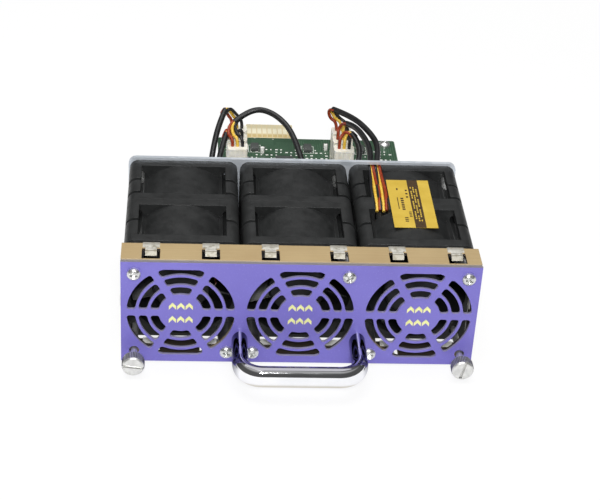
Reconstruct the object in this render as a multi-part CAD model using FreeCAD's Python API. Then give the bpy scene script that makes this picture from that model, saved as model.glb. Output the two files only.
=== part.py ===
import FreeCAD, Part
import math
import os

# Hot-swap cooling fan tray: a painted grille plate with a handle and two captive thumbscrews,
# three pairs of counter-rotating fans behind it, and a board with an edge contact at the rear.
# Millimetres. X runs across the tray, Y from the handle to the board, Z is up.
# Shapes are drawn with y = 0 on the front of the plate and z = 0 on its lower edge,
# and save() moves them so that the origin is under the middle of the whole tray.

V = FreeCAD.Vector
ORIGIN = V(0, 0, 0)
ALONG = V(0, 1, 0)

# Fans: two 40 mm housings back to back in each of three bays
FAN_SIZE = 40.0
FAN_GAP = 1.0
FAN_HALF = 28.0
FAN_CORNER_R = 3.5
FAN_FLANGE = 4.0
FAN_HOLE_INSET = 4.0
FAN_HOLE_D = 3.5
BARREL_CLEAR = 0.1
BARREL_WALL = 1.2
POST_W = 4.6
POST_GAP = 1.5
POST_WEB = 2.4
STRUT_COUNT = 5
STRUT_W = 2.0
STRUT_H = 2.8

# Motors and rotors, measured from the face where the two housings meet
MOTOR_BASE_T = 2.0
SHAFT_D = 2.0
SHAFT_CLEAR = 0.03
BEARING_D = 5.0
BEARING_W = 2.5
TUBE_WALL = 0.7
TUBE_L = 20.0
SEAT = 0.05
HUB_D = 21.0
HUB_WALL = 1.2
HUB_GAP = 0.6
HUB_SET_BACK = 1.4
HUB_CAP = 1.5
YOKE_WALL = 0.6
MAGNET_T = 0.9
MAGNET_L = 11.0
AIR_GAP = 0.3
STATOR_L = 9.0
STATOR_BACK = 0.5
SHOE_T = 0.6
POLE_COUNT = 4
POLE_W = 2.2
COIL_W = 5.0
COIL_H = 1.2
BLADE_T = 0.9
BLADE_CAMBER = 2.4
BLADE_TIP_GAP = 0.5
REAR_BLADES = 7
FRONT_BLADES = 5

# Front plate and its grille
PLATE_T = 1.0
PLATE_MARGIN = 0.5
GRILLE_EDGE = 0.1
GRILLE_RINGS = 3
GRILLE_SPOKES = 6
SLOT_W = 3.0
SLOT_CORNER_R = 1.0
RING_W = 1.0
SPOKE_W = 2.6
GRILLE_FLAT = 1.0

# Contact frame: the folded sheet behind the plate, and its spring clips
FRAME_T = 1.0
FRAME_DEPTH = 11.0
FRAME_BEND_R = 1.2
CORNER_SLIT = 0.4
SPRING_T = 0.25
SPRING_PROUD = 0.8
SPRING_BASE_W = 5.8
SPRING_TONGUE_W = 3.9
SPRING_GRIP = 3.4
SPRING_CREST = 1.9
SPRING_REACH = 6.6
SPRING_FIRST = 11.75
SPRING_PITCH = 20.3
SPRING_SHIFT = 0.95
WINDOW_W = 6.2
WINDOW_L = 6.2

# Handle, screws and spacers
HANDLE_W = 5.7
HANDLE_H = 8.0
HANDLE_REACH = 20.4
HANDLE_BEND_R = 7.5
HANDLE_Z = 9.0
SCREW_D = 3.2
SCREW_HEAD_D = 4.6
SCREW_HEAD_H = 1.8
SCREW_BITE = 8.0
CROSS_W = 0.8
CROSS_L = 2.7
CROSS_DEPTH = 1.1
HANDLE_SCREW_D = 3.0
HANDLE_SCREW_HEAD_D = 5.6
FIT = 0.15
SPACER_L = 12.5
SPACER_D = 6.0

# Captive thumbscrews
KNOB_D = 7.5
KNOB_L = 4.4
KNOB_CHAMFER = 0.4
KNOB_STANDOFF = 5.6
KNOB_SLOT_W = 1.0
KNOB_SLOT_DEPTH = 1.0
SHANK_D = 2.3
TIP_D = 3.0
TIP_L = 9.0
GROOVE_D = 1.8
RING_T = 0.6
RING_D = 5.6

# Rear bracket, board and plugs
BRACKET_T = 1.5
BRACKET_LIP = 0.5
BRACKET_CORNER_R = 3.0
BRACKET_BEND_R = 1.0
SHELF_INSET = 1.0
LEAD_SIDE = 10.5
LEAD_NOTCH_W = 5.0
STANDOFF_H = 10.5
STANDOFF_D = 5.0
STANDOFF_FOOT_D = 4.2
BOARD_T = 1.6
BOARD_W = 74.2
BOARD_D = 55.5
BOARD_X = 9.9
BOARD_GAP = 12.0
BOARD_HOLE_INSET = 4.5
TAB_W = 19.5
TAB_L = 12.5
TAB_X = -5.3
CONTACT_COUNT = 9
CONTACT_W = 1.7
CONTACT_T = 0.1
HEADER_W = 7.9
HEADER_D = 4.6
HEADER_H = 6.0
HEADER_WALL = 0.6
HEADER_FLOOR = 1.0
PLUG_RISE = 10.9
PLUG_CORNER_R = 0.5
HEADER_PITCH = 7.5
HEADER_FRONT = 17.6
LEFT_GROUP = -20.1
RIGHT_GROUP = 22.0
CHIP_ROW = 34.4
CHIP_W = 8.0
CHIP_H = 1.4
DRIVER_ROW = 46.4
DRIVER_FIRST = -12.0
DRIVER_PITCH = 22.0
DRIVER_W = 4.0
DRIVER_D = 5.0
DRIVER_H = 1.5
CAPACITOR_ROW = 7.0
CAPACITOR_FIRST = -8.0
CAPACITOR_PITCH = 16.0
CAPACITOR_D = 6.0
CAPACITOR_H = 7.0

# Leads
LEAD_D = 2.3
WIRE_D = 1.0
WIRE_RUN_OUT = 1.5
LEAD_START = 2.0

# Label on the right-hand fan pair
LABEL_W = 15.6
LABEL_L = 33.3
LABEL_T = 0.1
LABEL_SHIFT = 0.5

# Sizes that follow from the driving ones
FAN_PITCH = FAN_SIZE + FAN_GAP
FAN_X = (-FAN_PITCH, 0.0, FAN_PITCH)
FAN_NAMES = ("left", "middle", "right")
LEAD_UP = (False, False, True)
HOLE_OFF = FAN_SIZE / 2 - FAN_HOLE_INSET
BARREL_R = FAN_SIZE / 2 - BARREL_CLEAR
BORE_R = BARREL_R - BARREL_WALL
PLATE_W = len(FAN_X) * FAN_PITCH
PLATE_H = FAN_SIZE + 2 * PLATE_MARGIN
AXIS_Z = PLATE_H / 2
FRAME_BACK = PLATE_T + FRAME_T
FRAME_REAR = PLATE_T + FRAME_DEPTH
FAN_FRONT = FRAME_BACK + SPACER_L
FAN_MEET = FAN_FRONT + FAN_HALF
FAN_REAR = FAN_MEET + FAN_HALF
BRACKET_REAR = FAN_REAR + BRACKET_T
BRACKET_FOOT = -BRACKET_LIP
SHELF_TOP = BRACKET_FOOT + BRACKET_T
BOARD_FRONT = BRACKET_REAR + BOARD_GAP
BOARD_REAR = BOARD_FRONT + BOARD_D
BOARD_FOOT = SHELF_TOP + STANDOFF_H
BOARD_TOP = BOARD_FOOT + BOARD_T
HEADER_TOP = BOARD_TOP + HEADER_H
PLUG_TOP = HEADER_TOP + PLUG_RISE
HEADER_Y = [BOARD_FRONT + HEADER_FRONT + HEADER_PITCH * row for row in range(3)]
SCREW_CORNERS = (((-1, 1), (1, -1)), ((-1, -1), (1, 1)), ((-1, -1), (1, 1)))
THUMB_X = FAN_PITCH + HOLE_OFF
THUMB_Z = AXIS_Z - HOLE_OFF
SPRING_X = [SPRING_SHIFT + side * (SPRING_FIRST + SPRING_PITCH * step)
            for side in (-1, 1) for step in range(3)]
HUB_FOOT = STRUT_H + HUB_GAP
HUB_END = FAN_HALF - HUB_SET_BACK
YOKE_R = HUB_D / 2 - HUB_WALL - SEAT
MAGNET_R = YOKE_R - YOKE_WALL - SEAT
STATOR_R = MAGNET_R - MAGNET_T - AIR_GAP
TUBE_BORE_R = BEARING_D / 2 + SEAT
TUBE_R = TUBE_BORE_R + TUBE_WALL
STATOR_FOOT = HUB_FOOT + 3.0
TRAY_FRONT = -HANDLE_REACH - HANDLE_W / 2
TRAY_REAR = BOARD_REAR + TAB_L


def block(x0, x1, y0, y1, z0, z1):
    return Part.makeBox(x1 - x0, y1 - y0, z1 - z0, V(x0, y0, z0))


def rod(radius, y0, y1, x=0.0, z=0.0):
    return Part.makeCylinder(radius, y1 - y0, V(x, y0, z), ALONG)


def post(radius, z0, z1, x, y):
    return Part.makeCylinder(radius, z1 - z0, V(x, y, z0))


def ring(outer, inner, y0, y1, x=0.0, z=0.0):
    return rod(outer, y0, y1, x, z).cut(rod(inner, y0, y1, x, z))


def rounded(x0, x1, y0, y1, z0, z1, radius, axis):
    """A block with the four edges along one axis rounded."""
    solid = block(x0, x1, y0, y1, z0, z1)
    edges = [e for e in solid.Edges if abs(abs(e.tangentAt(0).dot(axis)) - 1) < 1e-6]
    return solid.makeFillet(radius, edges)


def around(shape, count, start=0.0):
    """Copies of a shape turned evenly about the Y axis."""
    copies = []
    for i in range(count):
        turned = shape.copy()
        turned.rotate(ORIGIN, ALONG, start + 360.0 * i / count)
        copies.append(turned)
    return copies


def route(points, radii=None):
    """Straight runs joined by tangent arcs, as large as the runs allow unless radii are given."""
    edges = []
    bends = []
    start = points[0]
    for i in range(1, len(points) - 1):
        back = points[i - 1] - points[i]
        ahead = points[i + 1] - points[i]
        half_turn = (math.pi - back.getAngle(ahead)) / 2
        if radii is None:
            bend = 0.45 * min(back.Length, ahead.Length) / math.tan(half_turn)
        else:
            bend = radii[i - 1]
        trim = bend * math.tan(half_turn)
        back.normalize()
        ahead.normalize()
        inward = back + ahead
        inward.normalize()
        arc_start = points[i] + back * trim
        arc_mid = points[i] + inward * (bend / math.cos(half_turn) - bend)
        arc_end = points[i] + ahead * trim
        edges.append(Part.makeLine(start, arc_start))
        edges.append(Part.Arc(arc_start, arc_mid, arc_end).toShape())
        bends.append(bend)
        start = arc_end
    edges.append(Part.makeLine(start, points[-1]))
    return Part.Wire(edges), bends


def tube(path, diameter):
    heading = path.Edges[0].tangentAt(path.Edges[0].FirstParameter)
    circle = Part.Circle(path.Edges[0].valueAt(path.Edges[0].FirstParameter), heading, diameter / 2)
    return path.makePipeShell([Part.Wire(circle.toShape())], True, False)


def strip(points, radii, width, thickness):
    """A flat spring strip bent along a route in the YZ plane."""
    path, bends = route(points, radii)
    heading = path.Edges[0].tangentAt(0)
    across = V(width / 2, 0, 0)
    up = heading.cross(V(1, 0, 0)) * (thickness / 2)
    corners = [points[0] - across - up, points[0] + across - up,
               points[0] + across + up, points[0] - across + up]
    section = Part.makePolygon(corners + corners[:1])
    return path.makePipeShell([section], True, False)


def join(shapes):
    return shapes[0].multiFuse(shapes[1:]).removeSplitter()


def save(name, shape):
    solids = shape if isinstance(shape, list) else [shape]
    placed = []
    for solid in solids:
        solid = solid.copy()
        solid.translate(PLACE)
        placed.append(solid)
    result = placed[0] if len(placed) == 1 else Part.makeCompound(placed)
    result.exportStep("parts/" + name + ".step")


# Front plate

def grille_slots():
    """Three rings of slots between six spokes, cut flat at the top and bottom of the fan bay."""
    outer = BORE_R - GRILLE_EDGE
    rings = []
    for i in range(GRILLE_RINGS):
        slot_out = outer - i * (SLOT_W + RING_W)
        rings.append(ring(slot_out, slot_out - SLOT_W, -1.0, PLATE_T + 1.0))
    spoke = block(0, FAN_SIZE, -2.0, PLATE_T + 2.0, -SPOKE_W / 2, SPOKE_W / 2)
    reach = outer - GRILLE_FLAT
    limit = block(-FAN_SIZE, FAN_SIZE, -2.0, PLATE_T + 2.0, -reach, reach)
    slots = Part.makeCompound(rings).common(limit).cut(Part.makeCompound(around(spoke, GRILLE_SPOKES)))
    soft = []
    for slot in slots.Solids:
        ends = [e for e in slot.Edges if e.Length > PLATE_T and abs(e.tangentAt(e.FirstParameter).y) > 0.99]
        corners = [e for e in ends if corner_is_sharp(slot, e)]
        soft.append(slot.makeFillet(SLOT_CORNER_R, corners))
    return soft


def corner_is_sharp(slot, edge):
    """True where the slot's outline turns by more than 40 degrees at this edge."""
    faces = slot.ancestorsOfType(edge, Part.Face)
    middle = edge.valueAt((edge.FirstParameter + edge.LastParameter) / 2)
    normals = [f.normalAt(*f.Surface.parameter(middle)) for f in faces]
    return normals[0].getAngle(normals[1]) > math.radians(40)


def fastener_holes(y0, y1, radius):
    """The six fan screws and the two thumbscrews, as holes through a sheet."""
    holes = [rod(radius, y0, y1, side * THUMB_X, THUMB_Z) for side in (-1, 1)]
    for x, corners in zip(FAN_X, SCREW_CORNERS):
        for sx, sz in corners:
            holes.append(rod(radius, y0, y1, x + sx * HOLE_OFF, AXIS_Z + sz * HOLE_OFF))
    return holes


def handle_holes(y0, y1):
    radius = HANDLE_SCREW_D / 2 + FIT
    return [rod(radius, y0, y1, side * FAN_PITCH / 2, HANDLE_Z) for side in (-1, 1)]


def front_plate():
    plate = block(-PLATE_W / 2, PLATE_W / 2, 0, PLATE_T, 0, PLATE_H)
    cuts = fastener_holes(-1, PLATE_T + 1, FAN_HOLE_D / 2) + handle_holes(-1, PLATE_T + 1)
    pattern = grille_slots()
    for x in FAN_X:
        for slot in pattern:
            moved = slot.copy()
            moved.translate(V(x, 0, AXIS_Z))
            cuts.append(moved)
    return plate.cut(Part.makeCompound(cuts))


# Contact frame and its springs

def contact_frame():
    """A folded pan behind the plate: a web with three air holes, and four flanges with windows."""
    pan = block(-PLATE_W / 2, PLATE_W / 2, PLATE_T, FRAME_REAR, 0, PLATE_H)
    folds = [e for e in pan.Edges if abs(e.CenterOfMass.y - PLATE_T) < 1e-6]
    pan = pan.makeFillet(FRAME_BEND_R, folds)
    inside = block(-PLATE_W / 2 + FRAME_T, PLATE_W / 2 - FRAME_T, FRAME_BACK, FRAME_REAR + 1,
                   FRAME_T, PLATE_H - FRAME_T)
    cuts = [inside] + fastener_holes(0, FRAME_REAR, FAN_HOLE_D / 2) + handle_holes(0, FRAME_REAR)
    cuts += [rod(BORE_R, 0, FRAME_REAR, x, AXIS_Z) for x in FAN_X]
    for sx in (-1, 1):
        for sz in (-1, 1):
            slit = block(-FRAME_T, FRAME_T, FRAME_BACK + FRAME_BEND_R, FRAME_REAR + 1,
                         -CORNER_SLIT / 2, CORNER_SLIT / 2)
            slit.translate(V(sx * PLATE_W / 2, 0, AXIS_Z + sz * (AXIS_Z - FRAME_T - CORNER_SLIT / 2)))
            cuts.append(slit)
    window_rear = FRAME_REAR - SPRING_GRIP
    for x in SPRING_X:
        cuts.append(block(x - WINDOW_W / 2, x + WINDOW_W / 2, window_rear - WINDOW_L, window_rear,
                          -1, FRAME_T + 0.5))
        cuts.append(block(x - WINDOW_W / 2, x + WINDOW_W / 2, window_rear - WINDOW_L, window_rear,
                          PLATE_H - FRAME_T - 0.5, PLATE_H + 1))
    cuts.append(block(-PLATE_W, PLATE_W, window_rear - WINDOW_L, window_rear,
                      AXIS_Z - WINDOW_W / 2, AXIS_Z + WINDOW_W / 2))
    return pan.cut(Part.makeCompound(cuts))


def contact_spring():
    """One clip: hooked over the flange's rear edge, with a bowed tongue dipping into the window."""
    mid = SPRING_T / 2 + SEAT
    under = -FRAME_T - mid
    crest = SPRING_PROUD - SPRING_T / 2
    hook = [V(0, -SPRING_GRIP + 0.4, under), V(0, mid, under), V(0, mid, mid), V(0, -SPRING_GRIP + 0.4, mid)]
    tight = SPRING_T / 2 + 0.03
    base = strip(hook, [tight, tight], SPRING_BASE_W, SPRING_T)
    tongue = [V(0, -SPRING_GRIP / 3, mid), V(0, -SPRING_GRIP, mid),
              V(0, -SPRING_GRIP - SPRING_CREST, crest), V(0, -SPRING_REACH, -FRAME_T * 0.9)]
    blade = strip(tongue, [0.8, 1.6], SPRING_TONGUE_W, SPRING_T)
    return base.fuse(blade).removeSplitter()


PLACE = V(0, -(TRAY_FRONT + TRAY_REAR) / 2, contact_spring().BoundBox.ZMax)


def springs(turn, places):
    clips = []
    for place in places:
        clip = contact_spring()
        clip.rotate(ORIGIN, ALONG, turn)
        clip.translate(place)
        clips.append(clip)
    return clips


# Handle, screws and spacers

def handle():
    """An oval bar on edge, bent to a U, with a tapped hole up each leg."""
    leg = FAN_PITCH / 2
    points = [V(-leg, 0, HANDLE_Z), V(-leg, -HANDLE_REACH, HANDLE_Z),
              V(leg, -HANDLE_REACH, HANDLE_Z), V(leg, 0, HANDLE_Z)]
    path, bends = route(points, [HANDLE_BEND_R, HANDLE_BEND_R])
    oval = Part.Ellipse(points[0] + V(0, 0, HANDLE_H / 2), points[0] + V(HANDLE_W / 2, 0, 0), points[0])
    bar = path.makePipeShell([Part.Wire(oval.toShape())], True, False)
    holes = [rod(HANDLE_SCREW_D / 2 + SEAT, -HANDLE_REACH / 2, 1, side * leg, HANDLE_Z) for side in (-1, 1)]
    return bar.cut(Part.makeCompound(holes))


def pan_screw(shank_d, head_d, head_h, length):
    """Head on the negative side of y = 0, cross recess in a domed head, shank into +y."""
    dome = head_h * 0.45
    radius = head_d / 2
    profile = [Part.makeLine(V(0, -head_h, 0), V(0, 0, 0)), Part.makeLine(V(0, 0, 0), V(radius, 0, 0)),
               Part.makeLine(V(radius, 0, 0), V(radius, -head_h + dome, 0)),
               Part.Arc(V(radius, -head_h + dome, 0), V(radius * 0.72, -head_h + dome * 0.27, 0),
                        V(0, -head_h, 0)).toShape()]
    head = Part.Face(Part.Wire(profile)).revolve(ORIGIN, ALONG, 360)
    arm = block(-CROSS_L / 2, CROSS_L / 2, -head_h - 1, -head_h + CROSS_DEPTH, -CROSS_W / 2, CROSS_W / 2)
    cross = join(around(arm, 4)[:2])
    return head.cut(cross).fuse(rod(shank_d / 2, 0, length)).removeSplitter()


def placed(shape, x, y, z, turn=0.0):
    moved = shape.copy()
    moved.rotate(ORIGIN, ALONG, turn)
    moved.translate(V(x, y, z))
    return moved


def corner_places():
    return [(x + sx * HOLE_OFF, AXIS_Z + sz * HOLE_OFF)
            for x, corners in zip(FAN_X, SCREW_CORNERS) for sx, sz in corners]


def front_screws():
    screw = pan_screw(SCREW_D, SCREW_HEAD_D, SCREW_HEAD_H, FAN_FRONT + SCREW_BITE)
    return [placed(screw, x, 0, z, 20.0 * i) for i, (x, z) in enumerate(corner_places())]


def rear_screws():
    screw = pan_screw(SCREW_D, SCREW_HEAD_D, SCREW_HEAD_H, BRACKET_T + SCREW_BITE)
    screw.rotate(ORIGIN, V(0, 0, 1), 180)
    return [placed(screw, x, BRACKET_REAR, z, 35.0 * i) for i, (x, z) in enumerate(corner_places())]


def handle_screws():
    screw = pan_screw(HANDLE_SCREW_D, HANDLE_SCREW_HEAD_D, SCREW_HEAD_H, FRAME_BACK + HANDLE_REACH / 2 - 1)
    screw.rotate(ORIGIN, V(0, 0, 1), 180)
    return [placed(screw, side * FAN_PITCH / 2, FRAME_BACK, HANDLE_Z) for side in (-1, 1)]


def spacers():
    return [ring(SPACER_D / 2, FAN_HOLE_D / 2, FRAME_BACK, FAN_FRONT, x, z) for x, z in corner_places()]


# Captive thumbscrews

def thumbscrew(side, slot_turn):
    """Slotted knob on a long shank that runs through the free corner holes of an end fan pair."""
    knob_front = -KNOB_STANDOFF - KNOB_L
    tip_end = BRACKET_REAR + TIP_L
    ring_y = FRAME_BACK + FIT
    knob = rod(KNOB_D / 2, knob_front, -KNOB_STANDOFF)
    knob = knob.makeChamfer(KNOB_CHAMFER, [e for e in knob.Edges if e.Closed and e.Length > KNOB_D])
    slot = block(-KNOB_D, KNOB_D, knob_front - 1, knob_front + KNOB_SLOT_DEPTH,
                 -KNOB_SLOT_W / 2, KNOB_SLOT_W / 2)
    slot.rotate(ORIGIN, ALONG, slot_turn)
    shank = rod(SHANK_D / 2, -KNOB_STANDOFF - 1, BRACKET_REAR)
    groove = ring(SHANK_D, GROOVE_D / 2, ring_y - SEAT, ring_y + RING_T + SEAT)
    tip = rod(TIP_D / 2, BRACKET_REAR, tip_end)
    point = tip.makeChamfer(TIP_D / 8, [e for e in tip.Edges if abs(e.CenterOfMass.y - tip_end) < 1e-6])
    screw = join([knob.cut(slot), shank.cut(groove), point])
    return placed(screw, side * THUMB_X, 0, THUMB_Z)


def retaining_ring(side):
    """The snap ring in the shank's groove that keeps the thumbscrew on the tray."""
    ring_y = FRAME_BACK + FIT
    collar = ring(RING_D / 2, GROOVE_D / 2 + SEAT, ring_y, ring_y + RING_T)
    mouth = block(-GROOVE_D / 2, GROOVE_D / 2, ring_y - 1, ring_y + RING_T + 1, 0, RING_D)
    return placed(collar.cut(mouth), side * THUMB_X, 0, THUMB_Z)


# Fan housings, in a frame with the meeting face at y = 0 and the outer face at y = FAN_HALF

def fan_housing(gaps, outer_notch):
    """Two square flanges on a barrel, with a grooved column webbed to the barrel at each corner."""
    half = FAN_SIZE / 2
    body = rounded(-half, half, 0, FAN_HALF, -half, half, FAN_CORNER_R, ALONG)
    barrel = rod(BARREL_R, -1, FAN_HALF + 1)
    wide = half + 1
    inner = half - POST_W
    post_up = block(inner, wide, -1, FAN_HALF + 1, inner, wide)
    web = block(BORE_R, half * math.sqrt(2), 0, FAN_HALF, -POST_WEB / 2, POST_WEB / 2)
    pocket = block(-wide, wide, FAN_FLANGE, FAN_HALF - FAN_FLANGE, -wide, wide)
    kept = [barrel] + around(post_up, 4) + around(web, 4, 45.0)
    for solid in kept:
        pocket = pocket.cut(solid)
    body = body.cut(pocket)
    spine = half * math.sqrt(2) - POST_W
    for gap in gaps:
        groove = block(-wide, wide, gap - POST_GAP / 2, gap + POST_GAP / 2, -wide, wide)
        body = body.cut(groove.cut(rod(spine, -1, FAN_HALF + 1)))
    body = body.cut(rod(BORE_R, -1, FAN_HALF + 1))
    holes = [rod(FAN_HOLE_D / 2, -1, FAN_HALF + 1, sx * HOLE_OFF, sz * HOLE_OFF)
             for sx in (-1, 1) for sz in (-1, 1)]
    cuts = holes + [lead_notch(-1, FAN_FLANGE, BORE_R - HUB_D / 4)]
    if outer_notch:
        cuts.append(lead_notch(FAN_HALF - FAN_FLANGE - 1, FAN_HALF + 1, half - 2.4))
    body = body.cut(Part.makeCompound(cuts))
    strut = block(HUB_D / 2 - 1.0, BORE_R + BARREL_WALL / 2, 0, STRUT_H, -STRUT_W / 2, STRUT_W / 2)
    struts = around(strut, STRUT_COUNT, 90.0)
    base = rod(HUB_D / 2, 0, MOTOR_BASE_T)
    sleeve = rod(TUBE_R, 0, TUBE_L)
    well = rod(TUBE_BORE_R, MOTOR_BASE_T, TUBE_L + 1)
    return join([body, base, sleeve] + struts).cut(well)


def lead_notch(y0, y1, foot):
    """The slot in a flange that lets the lead's wires out at the housing's side."""
    return block(-LEAD_SIDE - LEAD_NOTCH_W / 2, -LEAD_SIDE + LEAD_NOTCH_W / 2, y0, y1, foot, FAN_SIZE)


# Rotors

def blade_section(radius, sweep, foot, end):
    """A thin cambered section on the plane at one radius, between two ends of the blade's chord."""
    start = V(radius, foot, -sweep / 2)
    finish = V(radius, end, sweep / 2)
    chord = finish - start
    normal = V(0, chord.z, -chord.y)
    normal.normalize()
    middle = (start + finish) * 0.5 + normal * BLADE_CAMBER
    thin = normal * (BLADE_T / 4)
    thick = normal * (BLADE_T / 2)
    upper = Part.Arc(start + thin, middle + thick, finish + thin).toShape()
    lower = Part.Arc(finish - thin, middle - thick, start - thin).toShape()
    return Part.Wire([upper, Part.makeLine(finish + thin, finish - thin), lower,
                      Part.makeLine(start - thin, start + thin)])


def impeller(blades):
    """Moulded cup with a rounded nose, and blades that twist from root to tip."""
    hub_r = HUB_D / 2
    tip_r = BORE_R - BLADE_TIP_GAP
    cup = rod(hub_r, HUB_FOOT, HUB_END)
    nose = [e for e in cup.Edges if e.Closed and abs(e.CenterOfMass.y - HUB_END) < 1e-6]
    cup = cup.makeFillet(HUB_CAP, nose)
    cup = cup.cut(rod(hub_r - HUB_WALL, HUB_FOOT - 1, HUB_END - HUB_CAP))
    foot = HUB_FOOT + 1.6
    end = HUB_END - HUB_CAP
    pitch = 2 * math.pi / blades
    root = blade_section(hub_r * 0.7, pitch * hub_r * 0.62, foot, end)
    tip = blade_section(tip_r * 1.15, pitch * tip_r * 0.74, foot, end)
    blade = Part.makeLoft([root, tip], True, True)
    blade = blade.common(ring(tip_r, hub_r - HUB_WALL / 2, 0, FAN_HALF))
    return join([cup] + around(blade, blades))


def rotor_core():
    """Steel yoke cup, magnet ring and shaft, pressed together inside the impeller's cup."""
    yoke_end = HUB_END - HUB_CAP - SEAT
    yoke = rod(YOKE_R, HUB_FOOT + 0.5, yoke_end)
    yoke = yoke.cut(rod(YOKE_R - YOKE_WALL, HUB_FOOT, yoke_end - YOKE_WALL))
    boss = rod(SHAFT_D, TUBE_L + 0.8, yoke_end - YOKE_WALL)
    yoke = yoke.fuse(boss).cut(rod(SHAFT_D / 2, 0, yoke_end - YOKE_WALL))
    magnet = ring(MAGNET_R, MAGNET_R - MAGNET_T, STATOR_FOOT - 1, STATOR_FOOT - 1 + MAGNET_L)
    shaft = rod(SHAFT_D / 2, MOTOR_BASE_T + 0.4, yoke_end - YOKE_WALL)
    return [yoke, magnet, shaft]


# Motor parts that stay still

def bearings():
    seats = (MOTOR_BASE_T + 0.8, TUBE_L - BEARING_W)
    return [ring(BEARING_D / 2, SHAFT_D / 2 + SHAFT_CLEAR, foot, foot + BEARING_W) for foot in seats]


def stator_core():
    """Stacked laminations: a back ring, four necks and four pole shoes."""
    foot = STATOR_FOOT
    end = STATOR_FOOT + STATOR_L
    shoe_in = STATOR_R - SHOE_T
    shoes = ring(STATOR_R, shoe_in, foot, end)
    slot = block(shoe_in / 2, STATOR_R + 1, foot - 1, end + 1, -1.0, 1.0)
    shoes = shoes.cut(Part.makeCompound(around(slot, POLE_COUNT, 180.0 / POLE_COUNT)))
    neck = block(TUBE_R + STATOR_BACK / 2, shoe_in + SHOE_T / 2, foot, end, -POLE_W / 2, POLE_W / 2)
    back = ring(TUBE_R + SEAT + STATOR_BACK, TUBE_R + SEAT, foot, end)
    return join([back] + around(neck, POLE_COUNT) + shoes.Solids)


def stator_coils():
    """One winding on each neck."""
    inner = TUBE_R + STATOR_BACK + 2 * SEAT
    outer = STATOR_R - SHOE_T - SEAT
    foot = STATOR_FOOT
    end = STATOR_FOOT + STATOR_L
    coil = rounded(inner, outer, foot - COIL_H, end + COIL_H, -COIL_W / 2, COIL_W / 2, COIL_H, V(1, 0, 0))
    coil = coil.common(rod(outer, 0, FAN_HALF))
    core = block(inner - 1, outer + 1, foot - SEAT, end + SEAT, -POLE_W / 2 - SEAT, POLE_W / 2 + SEAT)
    corner = Part.makePolygon([V(0, 0, 0), V(FAN_SIZE, 0, -FAN_SIZE), V(FAN_SIZE, 0, FAN_SIZE), V(0, 0, 0)])
    wedge = Part.Face(corner).extrude(V(0, FAN_HALF, 0))
    wedge.translate(V(2 * SEAT, 0, 0))
    return around(coil.cut(core).common(wedge), POLE_COUNT)


def motor_board():
    foot = MOTOR_BASE_T
    return ring(YOKE_R - YOKE_WALL, TUBE_R + SEAT, foot, foot + 0.8)


def in_bay(shape, bay, front):
    """Place a shape of the half-fan frame in a bay; the front half is its mirror image."""
    moved = shape.mirror(ORIGIN, ALONG) if front else shape.copy()
    return placed(moved, FAN_X[bay], FAN_MEET, AXIS_Z, 0.0 if LEAD_UP[bay] else 180.0)


# Rear bracket and board

def rear_bracket():
    """Zinc-plated sheet: an upright with three intake holes, and a folded shelf under the board."""
    top = PLATE_H + BRACKET_LIP
    web = block(-PLATE_W / 2, PLATE_W / 2, FAN_REAR, BRACKET_REAR, BRACKET_FOOT, top)
    corners = [e for e in web.Edges if abs(e.tangentAt(0).y) > 0.99 and e.CenterOfMass.z > AXIS_Z]
    web = web.makeFillet(BRACKET_CORNER_R, corners)
    left = BOARD_X - BOARD_W / 2 + SHELF_INSET
    right = BOARD_X + BOARD_W / 2 - SHELF_INSET
    bend_out = BRACKET_BEND_R + BRACKET_T
    rise = BRACKET_FOOT + bend_out
    rear = BOARD_REAR - SHELF_INSET
    turn = math.sqrt(0.5)
    fold = [V(left, FAN_REAR, rise), V(left, FAN_REAR + bend_out, BRACKET_FOOT), V(left, rear, BRACKET_FOOT),
            V(left, rear, SHELF_TOP), V(left, FAN_REAR + bend_out, SHELF_TOP), V(left, BRACKET_REAR, rise)]
    centre = V(left, FAN_REAR + bend_out, rise)
    inward = V(0, -turn, -turn)
    outline = [Part.Arc(fold[0], centre + inward * bend_out, fold[1]).toShape(),
               Part.makeLine(fold[1], fold[2]), Part.makeLine(fold[2], fold[3]),
               Part.makeLine(fold[3], fold[4]),
               Part.Arc(fold[4], centre + inward * BRACKET_BEND_R, fold[5]).toShape(),
               Part.makeLine(fold[5], fold[0])]
    shelf = Part.Face(Part.Wire(outline)).extrude(V(right - left, 0, 0))
    web = web.cut(block(left, right, FAN_REAR - 1, BRACKET_REAR + 1, BRACKET_FOOT - 1, rise))
    body = web.fuse(shelf).removeSplitter()
    cuts = fastener_holes(FAN_REAR - 1, BRACKET_REAR + 1, FAN_HOLE_D / 2)
    for bay, x in enumerate(FAN_X):
        cuts.append(rod(BORE_R, FAN_REAR - 1, BRACKET_REAR + 1, x, AXIS_Z))
        reach = FAN_REAR + BOARD_GAP if not LEAD_UP[bay] else BRACKET_REAR + 1
        notch = lead_notch(FAN_REAR - 1, reach, FAN_SIZE / 2 - 5.0)
        notch = notch.common(block(-FAN_SIZE, FAN_SIZE, 0, 2 * FAN_REAR, 0, FAN_SIZE / 2))
        cuts.append(placed(notch, x, 0, AXIS_Z, 0.0 if LEAD_UP[bay] else 180.0))
    foot_r = STANDOFF_FOOT_D / 2 + SEAT
    cuts += [post(foot_r, BRACKET_FOOT - 1, SHELF_TOP + 1, x, y) for x, y in board_corners()]
    return body.cut(Part.makeCompound(cuts))


def board_corners():
    across = BOARD_W / 2 - BOARD_HOLE_INSET
    return [(BOARD_X + side * across, y) for side in (-1, 1)
            for y in (BOARD_FRONT + BOARD_HOLE_INSET, BOARD_REAR - BOARD_HOLE_INSET)]


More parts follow.
